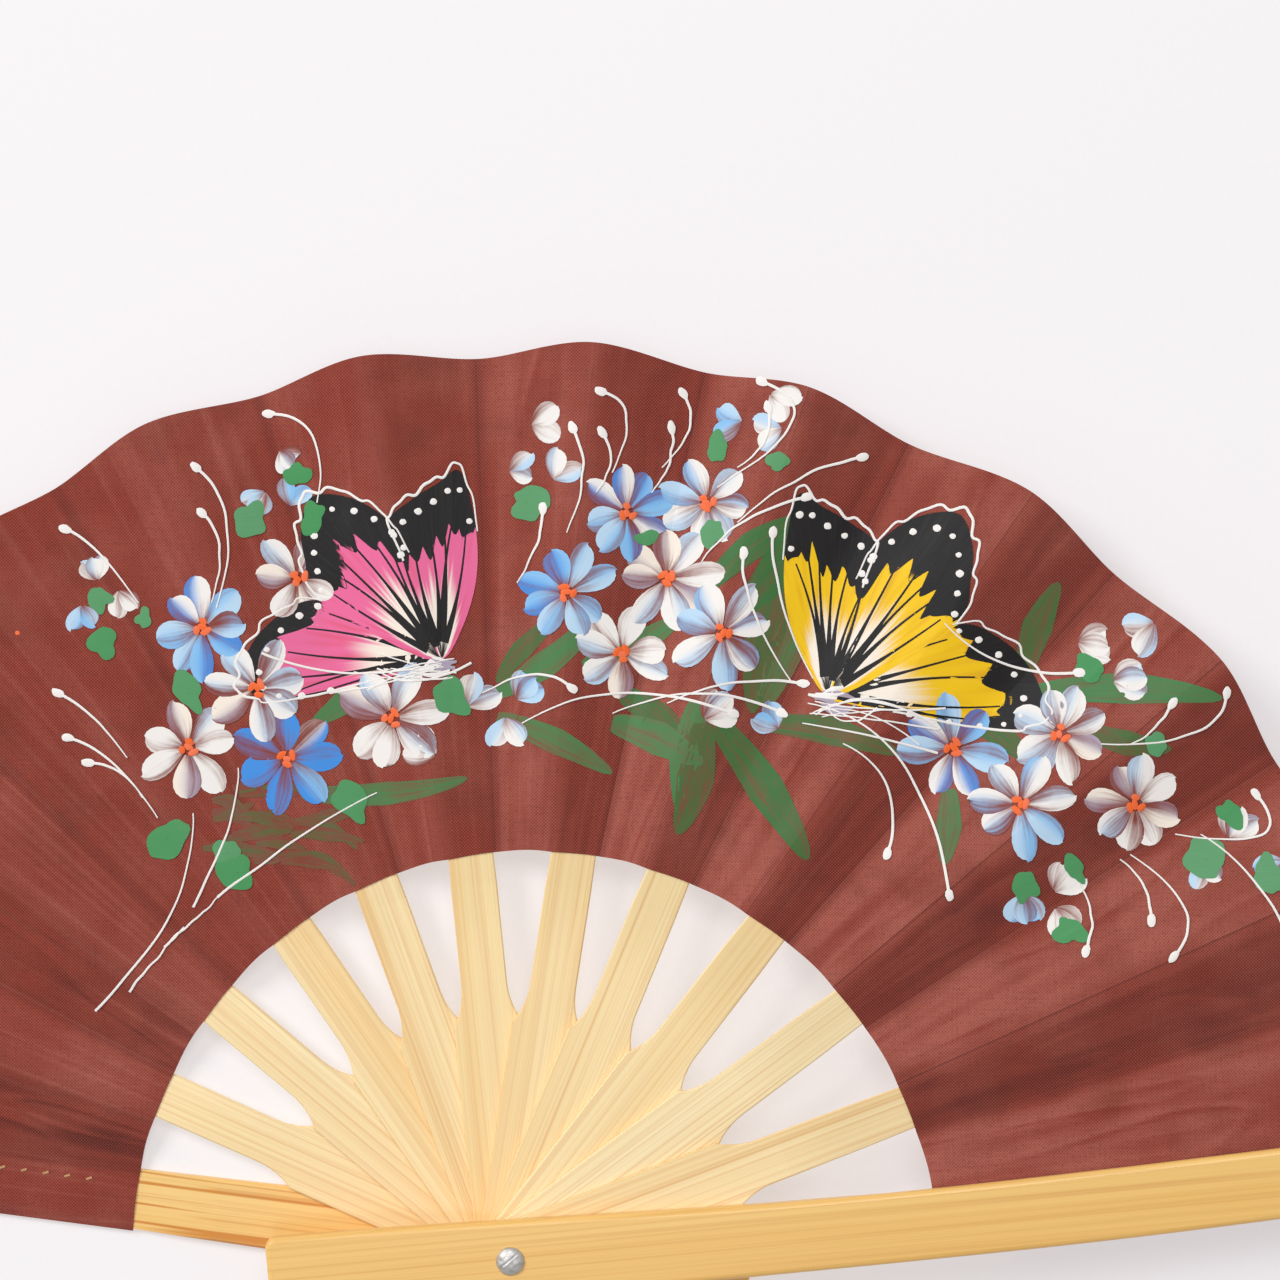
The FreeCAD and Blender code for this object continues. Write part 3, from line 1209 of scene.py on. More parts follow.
@dataclass
class Painting:
    """The flowers, leaves, curls and butterflies painted over the leaf.

    Places, sizes and heights above the cloth are in millimetres; only the film and the finished
    meshes are in metres. Stamens and curls lie over everything else.
    """

    leaf: Leaf
    film: float = 0.03 * MM
    top: float = 0.24
    stamen: float = 0.22
    patches: list[Patch] = field(default_factory=list)
    chance: random.Random = field(default_factory=lambda: random.Random(20))

    def grid_patch(self, rows: int, columns: int, place: Callable[[float, float], Point],
                   paint: Callable[[float, float], tuple[float, ...]],
                   lift: Callable[[float, float], float], size: Point) -> None:
        """Add a stroke as a grid over its length and width.

        Args:
            rows: Steps along the stroke.
            columns: Steps across the stroke.
            place: The place for a share along and a share across.
            paint: The colour and cover for the same shares.
            lift: The height above the cloth for the same shares, in millimetres.
            size: The stroke's length and width, in millimetres.
        """
        offset = self.chance.uniform(0, 400)
        places, lifts, colours, brush = [], [], [], []
        for row in range(rows + 1):
            for column in range(columns + 1):
                u, v = row / rows, column / columns
                places.append(place(u, v))
                lifts.append(lift(u, v))
                colours.append(paint(u, v))
                brush.append((u * size[0] * MM + offset * MM, v * size[1] * MM + offset * MM))
        faces = [(a, d, c, b) for a, b, c, d in grid_faces(rows, columns)]
        self.patches.append(Patch(places, lifts, colours, brush, faces))

    def petal(self, centre: Point, heading: float, length: float, width: float,
              left: Colour, right: Colour, base: float, layer: float) -> None:
        """Paint one petal, from near its flower's centre to its round tip.

        Args:
            centre: The flower's centre.
            heading: The petal's direction, in radians.
            length: How far from the centre it ends.
            width: Its greatest width.
            left: The colour of one side.
            right: The colour of the other.
            base: How far from the centre it starts.
            layer: Its height above the cloth.
        """
        bend = self.chance.uniform(-0.6, 0.6)
        belly = self.chance.uniform(0.55, 0.66)
        dent = self.chance.uniform(-0.4, 0.4)

        def place(u: float, v: float) -> Point:
            """A place on the petal."""
            swing = (1 - math.cos(math.pi * u)) / 2
            if swing > belly:
                half = math.sqrt(max(0.0, 1 - ((swing - belly) / (1 - belly)) ** 2))
            else:
                half = 0.22 + 0.78 * math.sin(math.pi / 2 * swing / belly)
            side = (2 * v - 1) * half * width / 2
            reach = base + (length - base) * swing + dent * (2 * v - 1) * swing ** 4
            side += bend * swing * swing
            return turned(centre, reach, side, heading)

        split = self.chance.uniform(0.35, 0.65)
        thick, thin = self.chance.uniform(0.95, 1.2), self.chance.uniform(0.35, 0.75)
        fade = self.chance.uniform(0.4, 0.75)

        def paint(u: float, v: float) -> tuple[float, ...]:
            """The petal's colour, which changes across it and thins to one side and its base."""
            side = smooth((v - split) / 0.6 + 0.5)
            tone = mix(left, right, side)
            cover = (thick + (thin - thick) * side) * (0.4 + 0.6 * smooth((u - 0.05) / fade))
            return (*tone, cover)

        self.grid_patch(9, 6, place, paint, lambda u, v: layer, (length, width))

    def flower(self, centre: Point, radius: float, pairs: Sequence[tuple[Tint, Tint]], turn: float,
               petals: int, layer: float) -> None:
        """Paint a flower of single brush dabs, with orange stamens.

        Args:
            centre: Its centre.
            radius: Its radius.
            pairs: The two colours of a petal, taken by its petals in turn.
            turn: The direction of its first petal, in radians.
            petals: How many petals it has.
            layer: The height of its lowest petal above the cloth.
        """
        order = list(range(petals))
        self.chance.shuffle(order)
        for level, number in enumerate(order):
            heading = turn + 2 * math.pi * number / petals + self.chance.uniform(-0.16, 0.16)
            length = radius * self.chance.uniform(0.84, 1.1)
            width = radius * self.chance.uniform(0.46, 0.6)
            left, right = pairs[(number + level) % len(pairs)]
            self.petal(centre, heading, length, width, left.value, right.value,
                       0.14 * radius, layer + 0.014 * level)
        spot = self.chance.uniform(0, 2 * math.pi)
        for number in range(4):
            heading = spot + number * 2.1
            reach = self.chance.uniform(1.0, 1.5) if number else 0.2
            place = turned(centre, reach, 0.0, heading)
            self.blob(place, (self.chance.uniform(0.8, 1.3), 0.66), heading + 1.2, Tint.ORANGE.value,
                      1.4, self.stamen, 0.12, 0.08)

    def bud(self, centre: Point, size: float, heading: float, first: Tint, second: Tint) -> None:
        """Paint a bud: two or three short dabs side by side.

        Args:
            centre: Its centre.
            size: Its length.
            heading: Its direction, in radians.
            first: The colour of one side.
            second: The colour of the other.
        """
        layer = self.chance.choice((0.06, 0.08, 0.1))
        for number, spread in enumerate((-0.5, 0.5, 0.0)):
            if number == 2 and self.chance.random() < 0.5:
                continue
            root = turned(centre, -0.45 * size, 0.0, heading)
            left, right = (first, second) if number % 2 else (second, first)
            self.petal(root, heading + spread, size * self.chance.uniform(0.85, 1.05), size * 0.72,
                       left.value, right.value, 0.0, layer + 0.025 * number)

    def blob(self, centre: Point, radii: Point, turn: float, tone: Colour, cover: float,
             layer: float, ragged: float = 0.08, dome: float = 0.0) -> None:
        """Paint a filled round dab, a little uneven.

        Args:
            centre: Its centre.
            radii: Its two radii.
            turn: The direction of the first radius, in radians.
            tone: Its colour.
            cover: How solid the paint is.
            layer: Its height above the cloth.
            ragged: How uneven its edge is, as a share of its radii.
            dome: How far its middle stands up.
        """
        seed = self.chance.uniform(0, 50)

        def place(u: float, v: float) -> Point:
            """A place in the dab."""
            angle = 2 * math.pi * v
            wave = noise.noise(Vector((math.cos(angle) * 1.1, math.sin(angle) * 1.1, seed)))
            reach = max(u, 0.02) * (1 + ragged * 2 * wave)
            x, y = radii[0] * reach * math.cos(angle), radii[1] * reach * math.sin(angle)
            return turned(centre, x, y, turn)

        spokes = 28 if max(radii) > 1.6 else 12
        tone = mix(tone, (1.0, 1.0, 1.0), self.chance.uniform(0, 0.06))
        self.grid_patch(4, spokes, place, lambda u, v: (*tone, cover),
                        lambda u, v: layer + dome * (1 - u ** 3), (0.0, 0.0))
        patch = self.patches[-1]
        patch.brush = [((x + seed) * MM, (y + seed) * MM) for x, y in patch.places]

    def dot(self, centre: Point, radius: float, tone: Colour, layer: float, dome: float) -> None:
        """Paint a small raised dot."""
        self.blob(centre, (radius, radius * 0.9), 0.0, tone, 1.4, layer, 0.1, dome)

    def stroke(self, points: Sequence[Point], widths: tuple[float, float, float], tone: Colour,
               layer: float, relief: float = 0.0, cover: float = 1.2, columns: int = 3,
               shape: float = 1.0) -> None:
        """Paint a line along points.

        Args:
            points: The line's points.
            widths: Its width at the start, middle and end.
            tone: Its colour.
            layer: Its height above the cloth.
            relief: How far its middle stands up.
            cover: How solid the paint is.
            columns: Steps across it.
            shape: How evenly the widths run from one to the next.
        """
        count = len(points) - 1
        total = sum(math.dist(a, b) for a, b in zip(points, points[1:]))

        def width_at(u: float) -> float:
            """The line's width at a share of its length."""
            if u < 0.5:
                return widths[0] + (widths[1] - widths[0]) * (2 * u) ** shape
            return widths[2] + (widths[1] - widths[2]) * (2 - 2 * u) ** shape

        def place(u: float, v: float) -> Point:
            """A place on the line."""
            index = min(int(u * count + 1e-6), count - 1)
            here, there = points[index], points[index + 1]
            share = u * count - index
            back = points[max(index - 1, 0)]
            run = (there[0] - back[0], there[1] - back[1])
            size = max(math.hypot(*run), 1e-6)
            side = (2 * v - 1) * width_at(u) / 2
            return (
                here[0] + (there[0] - here[0]) * share - run[1] / size * side,
                here[1] + (there[1] - here[1]) * share + run[0] / size * side,
            )

        def lift(u: float, v: float) -> float:
            """The line's height, highest along its middle."""
            return layer + relief * (1 - (2 * v - 1) ** 2)

        width = max(widths)
        self.grid_patch(count, columns, place, lambda u, v: (*tone, cover), lift, (total, width))

    def curl(self, first: Point, control: Point, last: Point, knob: bool = True,
             width: float = 0.46, tone: Tint = Tint.WHITE) -> None:
        """Paint a thin curl that ends in a knob of paint.

        Args:
            first: Where it starts.
            control: What it starts towards.
            last: Where it ends.
            knob: Whether it has the knob.
            width: Its width.
            tone: Its colour.
        """
        points = bezier(first, control, last, 26)
        seed = self.chance.uniform(0, 90)
        drawn = []
        for number, (x, y) in enumerate(points):
            wave = noise.noise(Vector((number * 0.21, seed, 0.0))) * 0.35
            drawn.append((x + wave, y - wave * 0.6))
        self.stroke(drawn, (0.26, width, width * 1.3), tone.value, self.top, 0.07, 1.1)
        if knob:
            run = math.atan2(drawn[-1][1] - drawn[-3][1], drawn[-1][0] - drawn[-3][0])
            self.blob(drawn[-1], (1.35, 0.85), run, tone.value, 1.4, self.top, 0.12, 0.1)

    def blade(self, first: Point, last: Point, width: float, bend: float, tone: Tint, cover: float) -> None:
        """Paint a long thin leaf in one translucent stroke.

        Args:
            first: Where it starts.
            last: Its tip.
            width: Its width.
            bend: How far it bows, as a share of its length.
            tone: Its colour.
            cover: How solid the paint is.
        """
        middle = ((first[0] + last[0]) / 2, (first[1] + last[1]) / 2)
        control = (middle[0] - (last[1] - first[1]) * bend, middle[1] + (last[0] - first[0]) * bend)
        points = bezier(first, control, last, 22)
        self.stroke(points, (width * 0.45, width, width * 0.12), tone.value,
                    0.035 + self.chance.uniform(0, 0.012), 0.0, cover, 7, 0.55)

    def wing(self, place_on: Callable[[Point], Point], shape: Wing, main: Tint, second: Tint,
             layer: float, rim: tuple[int, int], depth: float) -> None:
        """Paint one wing.

        Args:
            place_on: Turns a place on the butterfly into a place on the leaf.
            shape: Which wing it is.
            main: The wing's colour.
            second: A darker colour beside it.
            layer: Its height above the cloth.
            rim: The first and last corner of its dark edge.
            depth: How deep the dark edge is, as a share of the wing.
        """
        steps = 14
        outline = rounded(shape.value, steps)
        count = len(outline)
        seed = self.chance.uniform(0, 60)
        low, high = rim[0] * steps, rim[1] * steps

        def edge(v: float) -> Point:
            """A place on the outline."""
            at = v * count
            index = int(at) % count
            return mix(outline[index], outline[(index + 1) % count], at - int(at))

        def inside(u: float, v: float) -> Point:
            """A place within the wing, u of the way from the body to the outline."""
            x, y = edge(v)
            return place_on((x * max(u, 0.01), y * max(u, 0.01)))

        def depth_at(v: float) -> float:
            """How deep the dark edge is at a share of the outline, as a share of the wing."""
            along = (v * count - low) / (high - low)
            if not 0 < along < 1:
                return 0.0
            fingers = 0.1 * noise.noise(Vector((along * 9, seed, 2.0)))
            fingers += 0.07 * abs(math.sin(along * 22))
            return (depth + fingers) * min(1.0, 6 * along, 6 * (1 - along)) + 0.05

        def body_paint(u: float, v: float) -> tuple[float, ...]:
            """Black at the body, then cream, then the streaked colour of the wing, and a dark edge."""
            if u > 1.02 - depth_at(v):
                return (*Tint.BLACK.value, 1.3)
            wobble = 0.12 * noise.noise(Vector((v * 60, seed, 0.0)))
            pale = smooth((0.52 + wobble - u) / 0.2)
            streak = max(0.0, noise.noise(Vector((v * 34, u * 3, seed))))
            tone = mix(mix(main.value, second.value, streak), Tint.CREAM.value, pale)
            return (*mix(tone, Tint.BLACK.value, smooth((0.16 + wobble - u) / 0.08)), 1.15)

        self.grid_patch(30, count, inside, body_paint, lambda u, v: layer, (30.0, 30.0))

        def rim_place(u: float, v: float) -> Point:
            """A place in the dark edge band."""
            at = (low + (high - low) * v) / count
            x, y = edge(at % 1.0)
            reach = 1 - depth_at(at) * (1 - u)
            return place_on((x * reach, y * reach))

        self.grid_patch(6, 2 * (high - low), rim_place, lambda u, v: (*Tint.BLACK.value, 1.3),
                        lambda u, v: layer + 0.008, (10.0, 30.0))
        veins = 7
        for number in range(veins):
            at = (low + (high - low) * (number + 0.5) / veins) / count
            x, y = edge(at % 1.0)
            sway = self.chance.uniform(-0.06, 0.06)
            mid = (x * 0.45 - y * sway, y * 0.45 + x * sway)
            start = (x * 0.1, y * 0.1)
            points = [place_on(p) for p in bezier(start, mid, (x * 0.8, y * 0.8), 14)]
            self.stroke(points, (1.5, 0.5, 0.3), Tint.BLACK.value, layer + 0.016, 0.0, 1.3)
        dots = max(3, (high - low) // (steps // 2 + 1))
        for number in range(dots):
            at = (low + (high - low) * (number + 0.5) / dots) / count
            x, y = edge(at % 1.0)
            self.dot(place_on((x * 0.91, y * 0.91)), self.chance.uniform(0.55, 0.8),
                     Tint.WHITE.value, layer + 0.04, 0.08)
        scallops = []
        for index in range(low - 2, high + 3):
            x, y = outline[index % count]
            wave = 1.03 + 0.014 * math.sin(index * 2 * math.pi / steps) + 0.008 * math.sin(index * 0.83)
            scallops.append(place_on((x * wave, y * wave)))
        self.stroke(scallops, (0.3, 0.62, 0.4), Tint.WHITE.value, layer + 0.04, 0.1, 1.25)

    def butterfly(self, centre: Point, scale: float, turn: float, mirror: int,
                  main: Tint, second: Tint) -> None:
        """Paint a butterfly: hind wing, far wing, fore wing and the strokes over its body.

        Args:
            centre: Where its wings meet.
            scale: Its size beside the drawn outlines.
            turn: How far it is turned, in radians.
            mirror: 1 with its hind wing to the right, and -1 for the mirror image.
            main: The colour of its wings.
            second: A colour beside it.
        """

        def place_on(point: Point) -> Point:
            """Turn a place on the butterfly into a place on the leaf."""
            return turned(centre, point[0] * scale * mirror, point[1] * scale, turn)

        self.wing(place_on, Wing.HIND, main, second, 0.08, (2, 8), 0.1)
        self.wing(place_on, Wing.FAR, main, second, 0.11, (2, 8), 0.22)
        self.wing(place_on, Wing.FORE, main, second, 0.14, (3, 8), 0.24)
        for number in range(7):
            heading = self.chance.uniform(-0.5, 0.35)
            reach = self.chance.uniform(3.5, 7)
            start = (self.chance.uniform(-4, 0), self.chance.uniform(-3, 0.5))
            last = turned(start, reach, 0.0, heading)
            control = (start[0] + reach * 0.5, start[1] + self.chance.uniform(-2.5, 2))
            points = [place_on(p) for p in bezier(start, control, last, 12)]
            tone = Tint.WHITE if number % 2 else Tint.LILAC
            self.stroke(points, (0.5, 1.1, 0.4), tone.value, 0.17 + number * 0.006, 0.08, 1.0)

    def compose(self) -> None:
        """Paint the whole leaf: a stray dot, then the strokes underneath, up to the curls on top."""
        self.dot((-99, 124), 0.5, Tint.ORANGE.value, 0.05, 0.05)
        self._greenery()
        self._flowers()
        self._buds()
        self.butterfly((-14, 119), 0.94, math.radians(6), -1, Tint.PINK, Tint.ROSE)
        self.butterfly((63, 112), 1.0, math.radians(-3), 1, Tint.YELLOW, Tint.AMBER)
        self._curls()

    def _greenery(self) -> None:
        """Paint the long blades, the dry strokes and the round leaves."""
        blades = (
            ((40, 134), (58, 147), 4.6, 0.12), ((16, 126), (-5, 111), 4.4, 0.1),
            ((8, 126), (-3, 114), 3.4, -0.1), ((-3, 107), (20, 96), 4.2, 0.08),
            ((22, 112), (36, 100), 5.0, 0.1), ((37, 110), (34, 87), 5.6, -0.05),
            ((41, 106), (59, 79), 6.0, 0.05), ((50, 110), (59, 134), 5.6, -0.06),
            ((50, 106), (77, 100), 4.6, 0.1), ((-42, 92), (-9, 95), 3.8, -0.1),
            ((102, 116), (109, 134), 5.0, 0.08), ((104, 112), (141, 111), 5.0, 0.08),
            ((114, 105), (131, 101), 4.0, -0.1), ((87, 93), (86, 78), 4.2, 0.05),
            ((86, 112), (102, 99), 5.2, 0.1), ((-28, 116), (-40, 106), 4.0, 0.1),
            ((60, 148), (45, 128), 6.5, 0.1), ((32, 126), (14, 118), 4.2, 0.1),
            ((57, 142), (48, 108), 6.5, -0.1), ((20, 106), (38, 98), 5.5, 0.1),
            ((38, 106), (33, 84), 6.0, 0.1), ((98, 118), (84, 104), 6.0, 0.1),
        )
        for number, (first, last, width, bend) in enumerate(blades):
            tone = (Tint.MOSS, Tint.FERN)[number % 2]
            self.blade(first, last, width * 1.25, bend, tone, self.chance.uniform(0.62, 0.85))
        for number in range(22):
            x, y = self.chance.uniform(-62, -42), self.chance.uniform(78, 93)
            reach, heading = self.chance.uniform(7, 15), self.chance.uniform(-0.45, 0.45)
            last = turned((x, y), reach, 0.0, heading)
            self.stroke(bezier((x, y), (x + reach / 2, y + 1), last, 12), (1.2, 3.0, 0.8),
                        Tint.MOSS.value, 0.03 + 0.001 * number, 0.0, self.chance.uniform(0.3, 0.5), 6)
        rounds = (
            (-83, 131, 2.4), (-82, 122, 3.0), (-74, 127, 2.0), (-52, 147, 3.4), (-43, 156, 2.7),
            (-40, 147, 3.0), (-65, 112, 3.4), (-32, 90, 3.9), (-12, 111, 3.8), (-69, 83, 4.4),
            (-55, 76, 4.0), (3, 150, 3.7), (41, 161, 2.7), (53, 158, 2.2), (40, 144, 2.4), (27, 143, 2.2),
            (115, 117, 2.6), (138, 79, 4.2), (143, 88, 2.8), (150, 76, 3.8), (102, 74, 3.0),
            (112, 77, 2.4), (111, 65, 3.2), (128, 102, 2.2), (-57, 80, 2.6),
        )
        for x, y, radius in rounds:
            shape = (radius * 1.08, radius * self.chance.uniform(0.75, 0.95))
            self.blob((x, y), shape, self.chance.uniform(0, 3), Tint.GREEN.value, 1.15, 0.2, 0.3, 0.05)

    def _flowers(self) -> None:
        """Paint the flowers."""
        white = ((Tint.CREAM, Tint.LILAC), (Tint.WHITE, Tint.PALE), (Tint.WHITE, Tint.WHITE))
        pale = ((Tint.WHITE, Tint.SKY), (Tint.PALE, Tint.SKY), (Tint.WHITE, Tint.PALE))
        blue = ((Tint.SKY, Tint.BLUE), (Tint.PALE, Tint.SKY), (Tint.WHITE, Tint.BLUE))
        deep = ((Tint.BLUE, Tint.BLUE), (Tint.BLUE, Tint.SKY), (Tint.BLUE, Tint.WHITE))
        flowers = (
            (-43, 135, 9.3, white), (-62, 125, 10.0, blue), (-51, 113, 10.3, white), (-65, 101, 10.4, white),
            (-45, 99, 10.8, deep), (-24, 107, 11.0, white), (23, 148, 9.4, blue), (39, 150, 9.6, pale),
            (11, 132, 10.0, blue), (31, 135, 10.6, white), (22, 120, 9.6, white), (42, 124, 10.6, pale),
            (88, 101, 10.4, blue), (109, 104, 10.2, white), (101, 90, 10.4, pale), (124, 90, 9.8, white),
        )
        for number, (x, y, radius, pairs) in enumerate(flowers):
            turn = self.chance.uniform(0, 2 * math.pi)
            layer = 0.05 + 0.025 * (number % 3)
            self.flower((x, y), radius, pairs, turn, self.chance.choice((7, 7, 8)), layer)

    def _buds(self) -> None:
        """Paint the buds and single loose petals."""
        buds = (
            (-84, 137, 5.0), (-86, 127, 5.2), (-78, 130, 5.6), (-51, 150, 5.6), (-45, 159, 4.6),
            (-44, 152, 5.2), (7, 166, 6.6), (10, 157, 6.0), (2, 157, 5.4), (43, 166, 6.0), (54, 170, 6.0),
            (51, 164, 6.0), (-7, 112, 7.0), (3, 113, 6.0), (-18, 101, 6.4), (-1, 104, 6.4), (41, 109, 7.0),
            (51, 107, 6.0), (116, 122, 6.6), (125, 124, 7.0), (123, 115, 7.0), (102, 69, 6.6),
            (110, 75, 6.4), (138, 76, 5.6), (144, 86, 6.4), (151, 77, 6.0), (110, 67, 6.0),
        )
        tones = (
            (Tint.PALE, Tint.WHITE), (Tint.SKY, Tint.PALE), (Tint.WHITE, Tint.WHITE), (Tint.WHITE, Tint.PALE),
        )
        for number, (x, y, size) in enumerate(buds):
            heading = self.chance.uniform(0, 2 * math.pi)
            first, second = tones[number % len(tones)]
            self.bud((x, y), size, heading, first, second)

    def _curls(self) -> None:
        """Paint the white curls."""
        curls = (
            ((-39, 150), (-36, 168), (-49, 168)), ((-59, 129), (-53, 149), (-63, 157)),
            ((-60, 130), (-56, 143), (-62, 148)), ((-75, 130), (-84, 143), (-90, 145)),
            ((-77, 99), (-84, 109), (-91, 112)), ((-71, 87), (-80, 101), (-89, 103)),
            ((-74, 91), (-78, 98), (-85, 98)), ((20, 156), (27, 170), (18, 172)),
            ((17, 152), (22, 159), (18, 164)), ((30, 157), (39, 166), (34, 172)),
            ((28, 152), (33, 158), (32, 165)), ((41, 153), (66, 168), (50, 174)),
            ((45, 157), (53, 162), (51, 169)), ((38, 138), (44, 148), (59, 151)),
            ((45, 146), (57, 157), (70, 159)), ((11, 144), (17, 157), (12, 165)),
            ((1, 134), (6, 141), (6, 149)), ((56, 114), (46, 128), (46, 140)),
            ((60, 115), (52, 130), (52, 144)), ((86, 126), (96, 115), (113, 116)),
            ((117, 102), (141, 101), (142, 112)), ((123, 102), (129, 105), (131, 110)),
            ((132, 84), (158, 80), (148, 92)), ((121, 79), (127, 75), (127, 67)),
            ((123, 80), (140, 69), (131, 60)), ((113, 74), (117, 68), (114, 61)),
            ((66, 102), (79, 96), (75, 80)), ((59, 110), (82, 106), (87, 72)),
            ((20, 108), (38, 116), (54, 108)), ((-6, 112), (6, 119), (12, 113)),
            ((2, 106), (20, 117), (44, 108)), ((31, 110), (43, 116), (58, 114)),
        )
        for first, control, last in curls:
            self.curl(first, control, last)
        plain = (
            ((-64, 88), (-62, 70), (-84, 48)), ((-55, 97), (-55, 85), (-64, 69)),
            ((-66, 65), (-72, 58), (-77, 52)), ((-27, 92), (-43, 84), (-59, 71)),
            ((-59, 71), (-62, 68), (-70, 61)), ((137, 84), (146, 79), (153, 66)),
            ((-26, 116), (-20, 112), (-8, 118)), ((60, 108), (70, 114), (84, 106)),
            ((58, 106), (72, 104), (85, 100)), ((-14, 118), (-34, 113), (-50, 120)),
        )
        for first, control, last in plain:
            self.curl(first, control, last, False, 0.4)
        for (x, y), side in (((-15, 119), -1), ((63, 111), 1)):
            for number in range(7):
                heading = self.chance.uniform(-0.55, 0.1)
                reach = self.chance.uniform(9, 24)
                start = (x - side * self.chance.uniform(0, 4), y - self.chance.uniform(0, 4))
                last = (x + side * reach * math.cos(heading), y + reach * math.sin(heading))
                control = (x + side * reach * 0.35, y + self.chance.uniform(-8, 5))
                self.curl(start, control, last, False, self.chance.uniform(0.2, 0.32))

    def sheet(self) -> bmesh.types.BMesh:
        """Put all the patches in one flat mesh, cut along the leaf's creases.

        Returns:
            The mesh, with each stroke's colour and brush direction on its points.
        """
        mesh = bmesh.new()
        paint = mesh.verts.layers.float_color.new("paint")
        brush = mesh.verts.layers.float_vector.new("brush")
        for patch in self.patches:
            points = []
            for place, lift, tone, grain in zip(patch.places, patch.lifts, patch.colours, patch.brush):
                point = mesh.verts.new((place[0] * MM, place[1] * MM, lift * MM))
                point[paint] = tone
                point[brush] = (grain[0], grain[1], 0.0)
                points.append(point)
            for corners in patch.faces:
                mesh.faces.new([points[c] for c in corners])
        bmesh.ops.remove_doubles(mesh, verts=mesh.verts, dist=1e-7)
        bmesh.ops.dissolve_degenerate(mesh, edges=mesh.edges, dist=1e-7)
        for strip in self.leaf.strips[:-1]:
            edge = strip.last
            bmesh.ops.bisect_plane(
                mesh,
                geom=[*mesh.verts, *mesh.edges, *mesh.faces],
                plane_co=(edge.start[0], edge.start[1], 0.0),
                plane_no=(edge.run[1], -edge.run[0], 0.0),
                dist=1e-7,
            )
        return mesh

    def build(self, finish: bpy.types.Material) -> list[bpy.types.Object]:
        """Lay the painting on the leaf.

        Args:
            finish: The paint's material.

        Returns:
            One piece for each strip that carries paint.
        """
        self.compose()
        mesh = self.sheet()
        groups: dict[str, list[bmesh.types.BMFace]] = {}
        for face in mesh.faces:
            middle = face.calc_center_median()
            groups.setdefault(self.leaf.strip_at(middle.x, middle.y).name, []).append(face)
        made = []
        for strip in self.leaf.strips:
            if strip.name in groups:
                made.append(self._lay(mesh, groups[strip.name], strip, finish))
        mesh.free()
        return made

    def _lay(self, mesh: bmesh.types.BMesh, faces: list[bmesh.types.BMFace], strip: Strip,
             finish: bpy.types.Material) -> bpy.types.Object:
        """Lay one strip's share of the painting on its cloth.

        Args:
            mesh: The whole painting, flat.
            faces: The strip's share of its faces.
            strip: The strip.
            finish: The paint's material.

        Returns:
            The piece.
        """
        paint = mesh.verts.layers.float_color["paint"]
        brush = mesh.verts.layers.float_vector["brush"]
        order: dict[Any, int] = {}
        for face in faces:
            for point in face.verts:
                order.setdefault(point, len(order))
        points = list(order)
        corners = [tuple(order[p] for p in face.verts) for face in faces]
        piece = object_of(strip.name.replace("cloth_", "paint_"), [tuple(p.co) for p in points], corners)
        tones = piece.data.attributes.new("paint", "FLOAT_COLOR", "POINT")
        tones.data.foreach_set("color", [part for p in points for part in p[paint]])
        grain = piece.data.attributes.new("brush", "FLOAT_VECTOR", "POINT")
        grain.data.foreach_set("vector", [part for p in points for part in p[brush]])
        down = [n for n, face in enumerate(piece.data.polygons) if face.normal.z < 0]
        self._turn_up(piece, down)
        self.leaf.attach(piece, strip)
        heights = []
        for point in points:
            x, y, lift = point.co
            heights.append(self.leaf.height(strip, x, y) + self.leaf.cloth / 2 + self.film + lift)
        set_heights(piece, heights)
        smooth_faces(piece)
        thicken(piece, self.film, -1.0)
        piece.data.materials.append(finish)
        return piece

    @staticmethod
    def _turn_up(piece: bpy.types.Object, down: list[int]) -> None:
        """Turn faces over.

        Args:
            piece: The piece.
            down: Its faces that look down.
        """
        mesh = bmesh.new()
        mesh.from_mesh(piece.data)
        mesh.faces.ensure_lookup_table()
        bmesh.ops.reverse_faces(mesh, faces=[mesh.faces[n] for n in down])
        mesh.to_mesh(piece.data)
        mesh.free()


# ----------------------------------------------------------------------- ribs


@dataclass
class Ribs:
    """The bamboo guards and sticks, which keep their CAD shape."""

    leaf: Leaf

    def dress(self) -> None:
        """Give every rib its own bamboo, with the fibres along it."""
        chance = random.Random(31)
        for number, rib in enumerate(self.leaf.ribs):
            dress_node(rib.node, self._finish(number, rib, chance).material())

    def _finish(self, number: int, rib: Rib, chance: random.Random) -> Bamboo:
        """The bamboo of one rib.

        Args:
            number: Its place among the ribs, from the rear guard.
            rib: The rib.
            chance: Where its random differences come from.

        Returns:
            The finish.
        """
        shift = chance.uniform(0, 40)
        if number == 0:
            return Bamboo("rear_guard_bamboo", rib.angle, srgb(252, 212, 136), srgb(246, 194, 108),
                          srgb(214, 140, 54), 0.35, 0.95, 0.4, 0.2, shift)
        if number == len(self.leaf.ribs) - 1:
            return Bamboo("front_guard_bamboo", rib.angle, srgb(250, 205, 122), srgb(242, 190, 104),
                          srgb(206, 142, 62), 0.42, 0.1, 0.34, 0.35, shift)
        warm = chance.uniform(0, 1)
        pale = mix(srgb(255, 236, 188), srgb(254, 229, 172), warm)
        deep = mix(srgb(251, 219, 158), srgb(247, 208, 140), warm)
        return Bamboo(f"stick_bamboo_{number:02d}", rib.angle, pale, deep, srgb(222, 162, 88),
                      chance.uniform(0.42, 0.6), chance.uniform(0.1, 0.3), 0.4, 0.25, shift)


# ---------------------------------------------------------------------- rivet


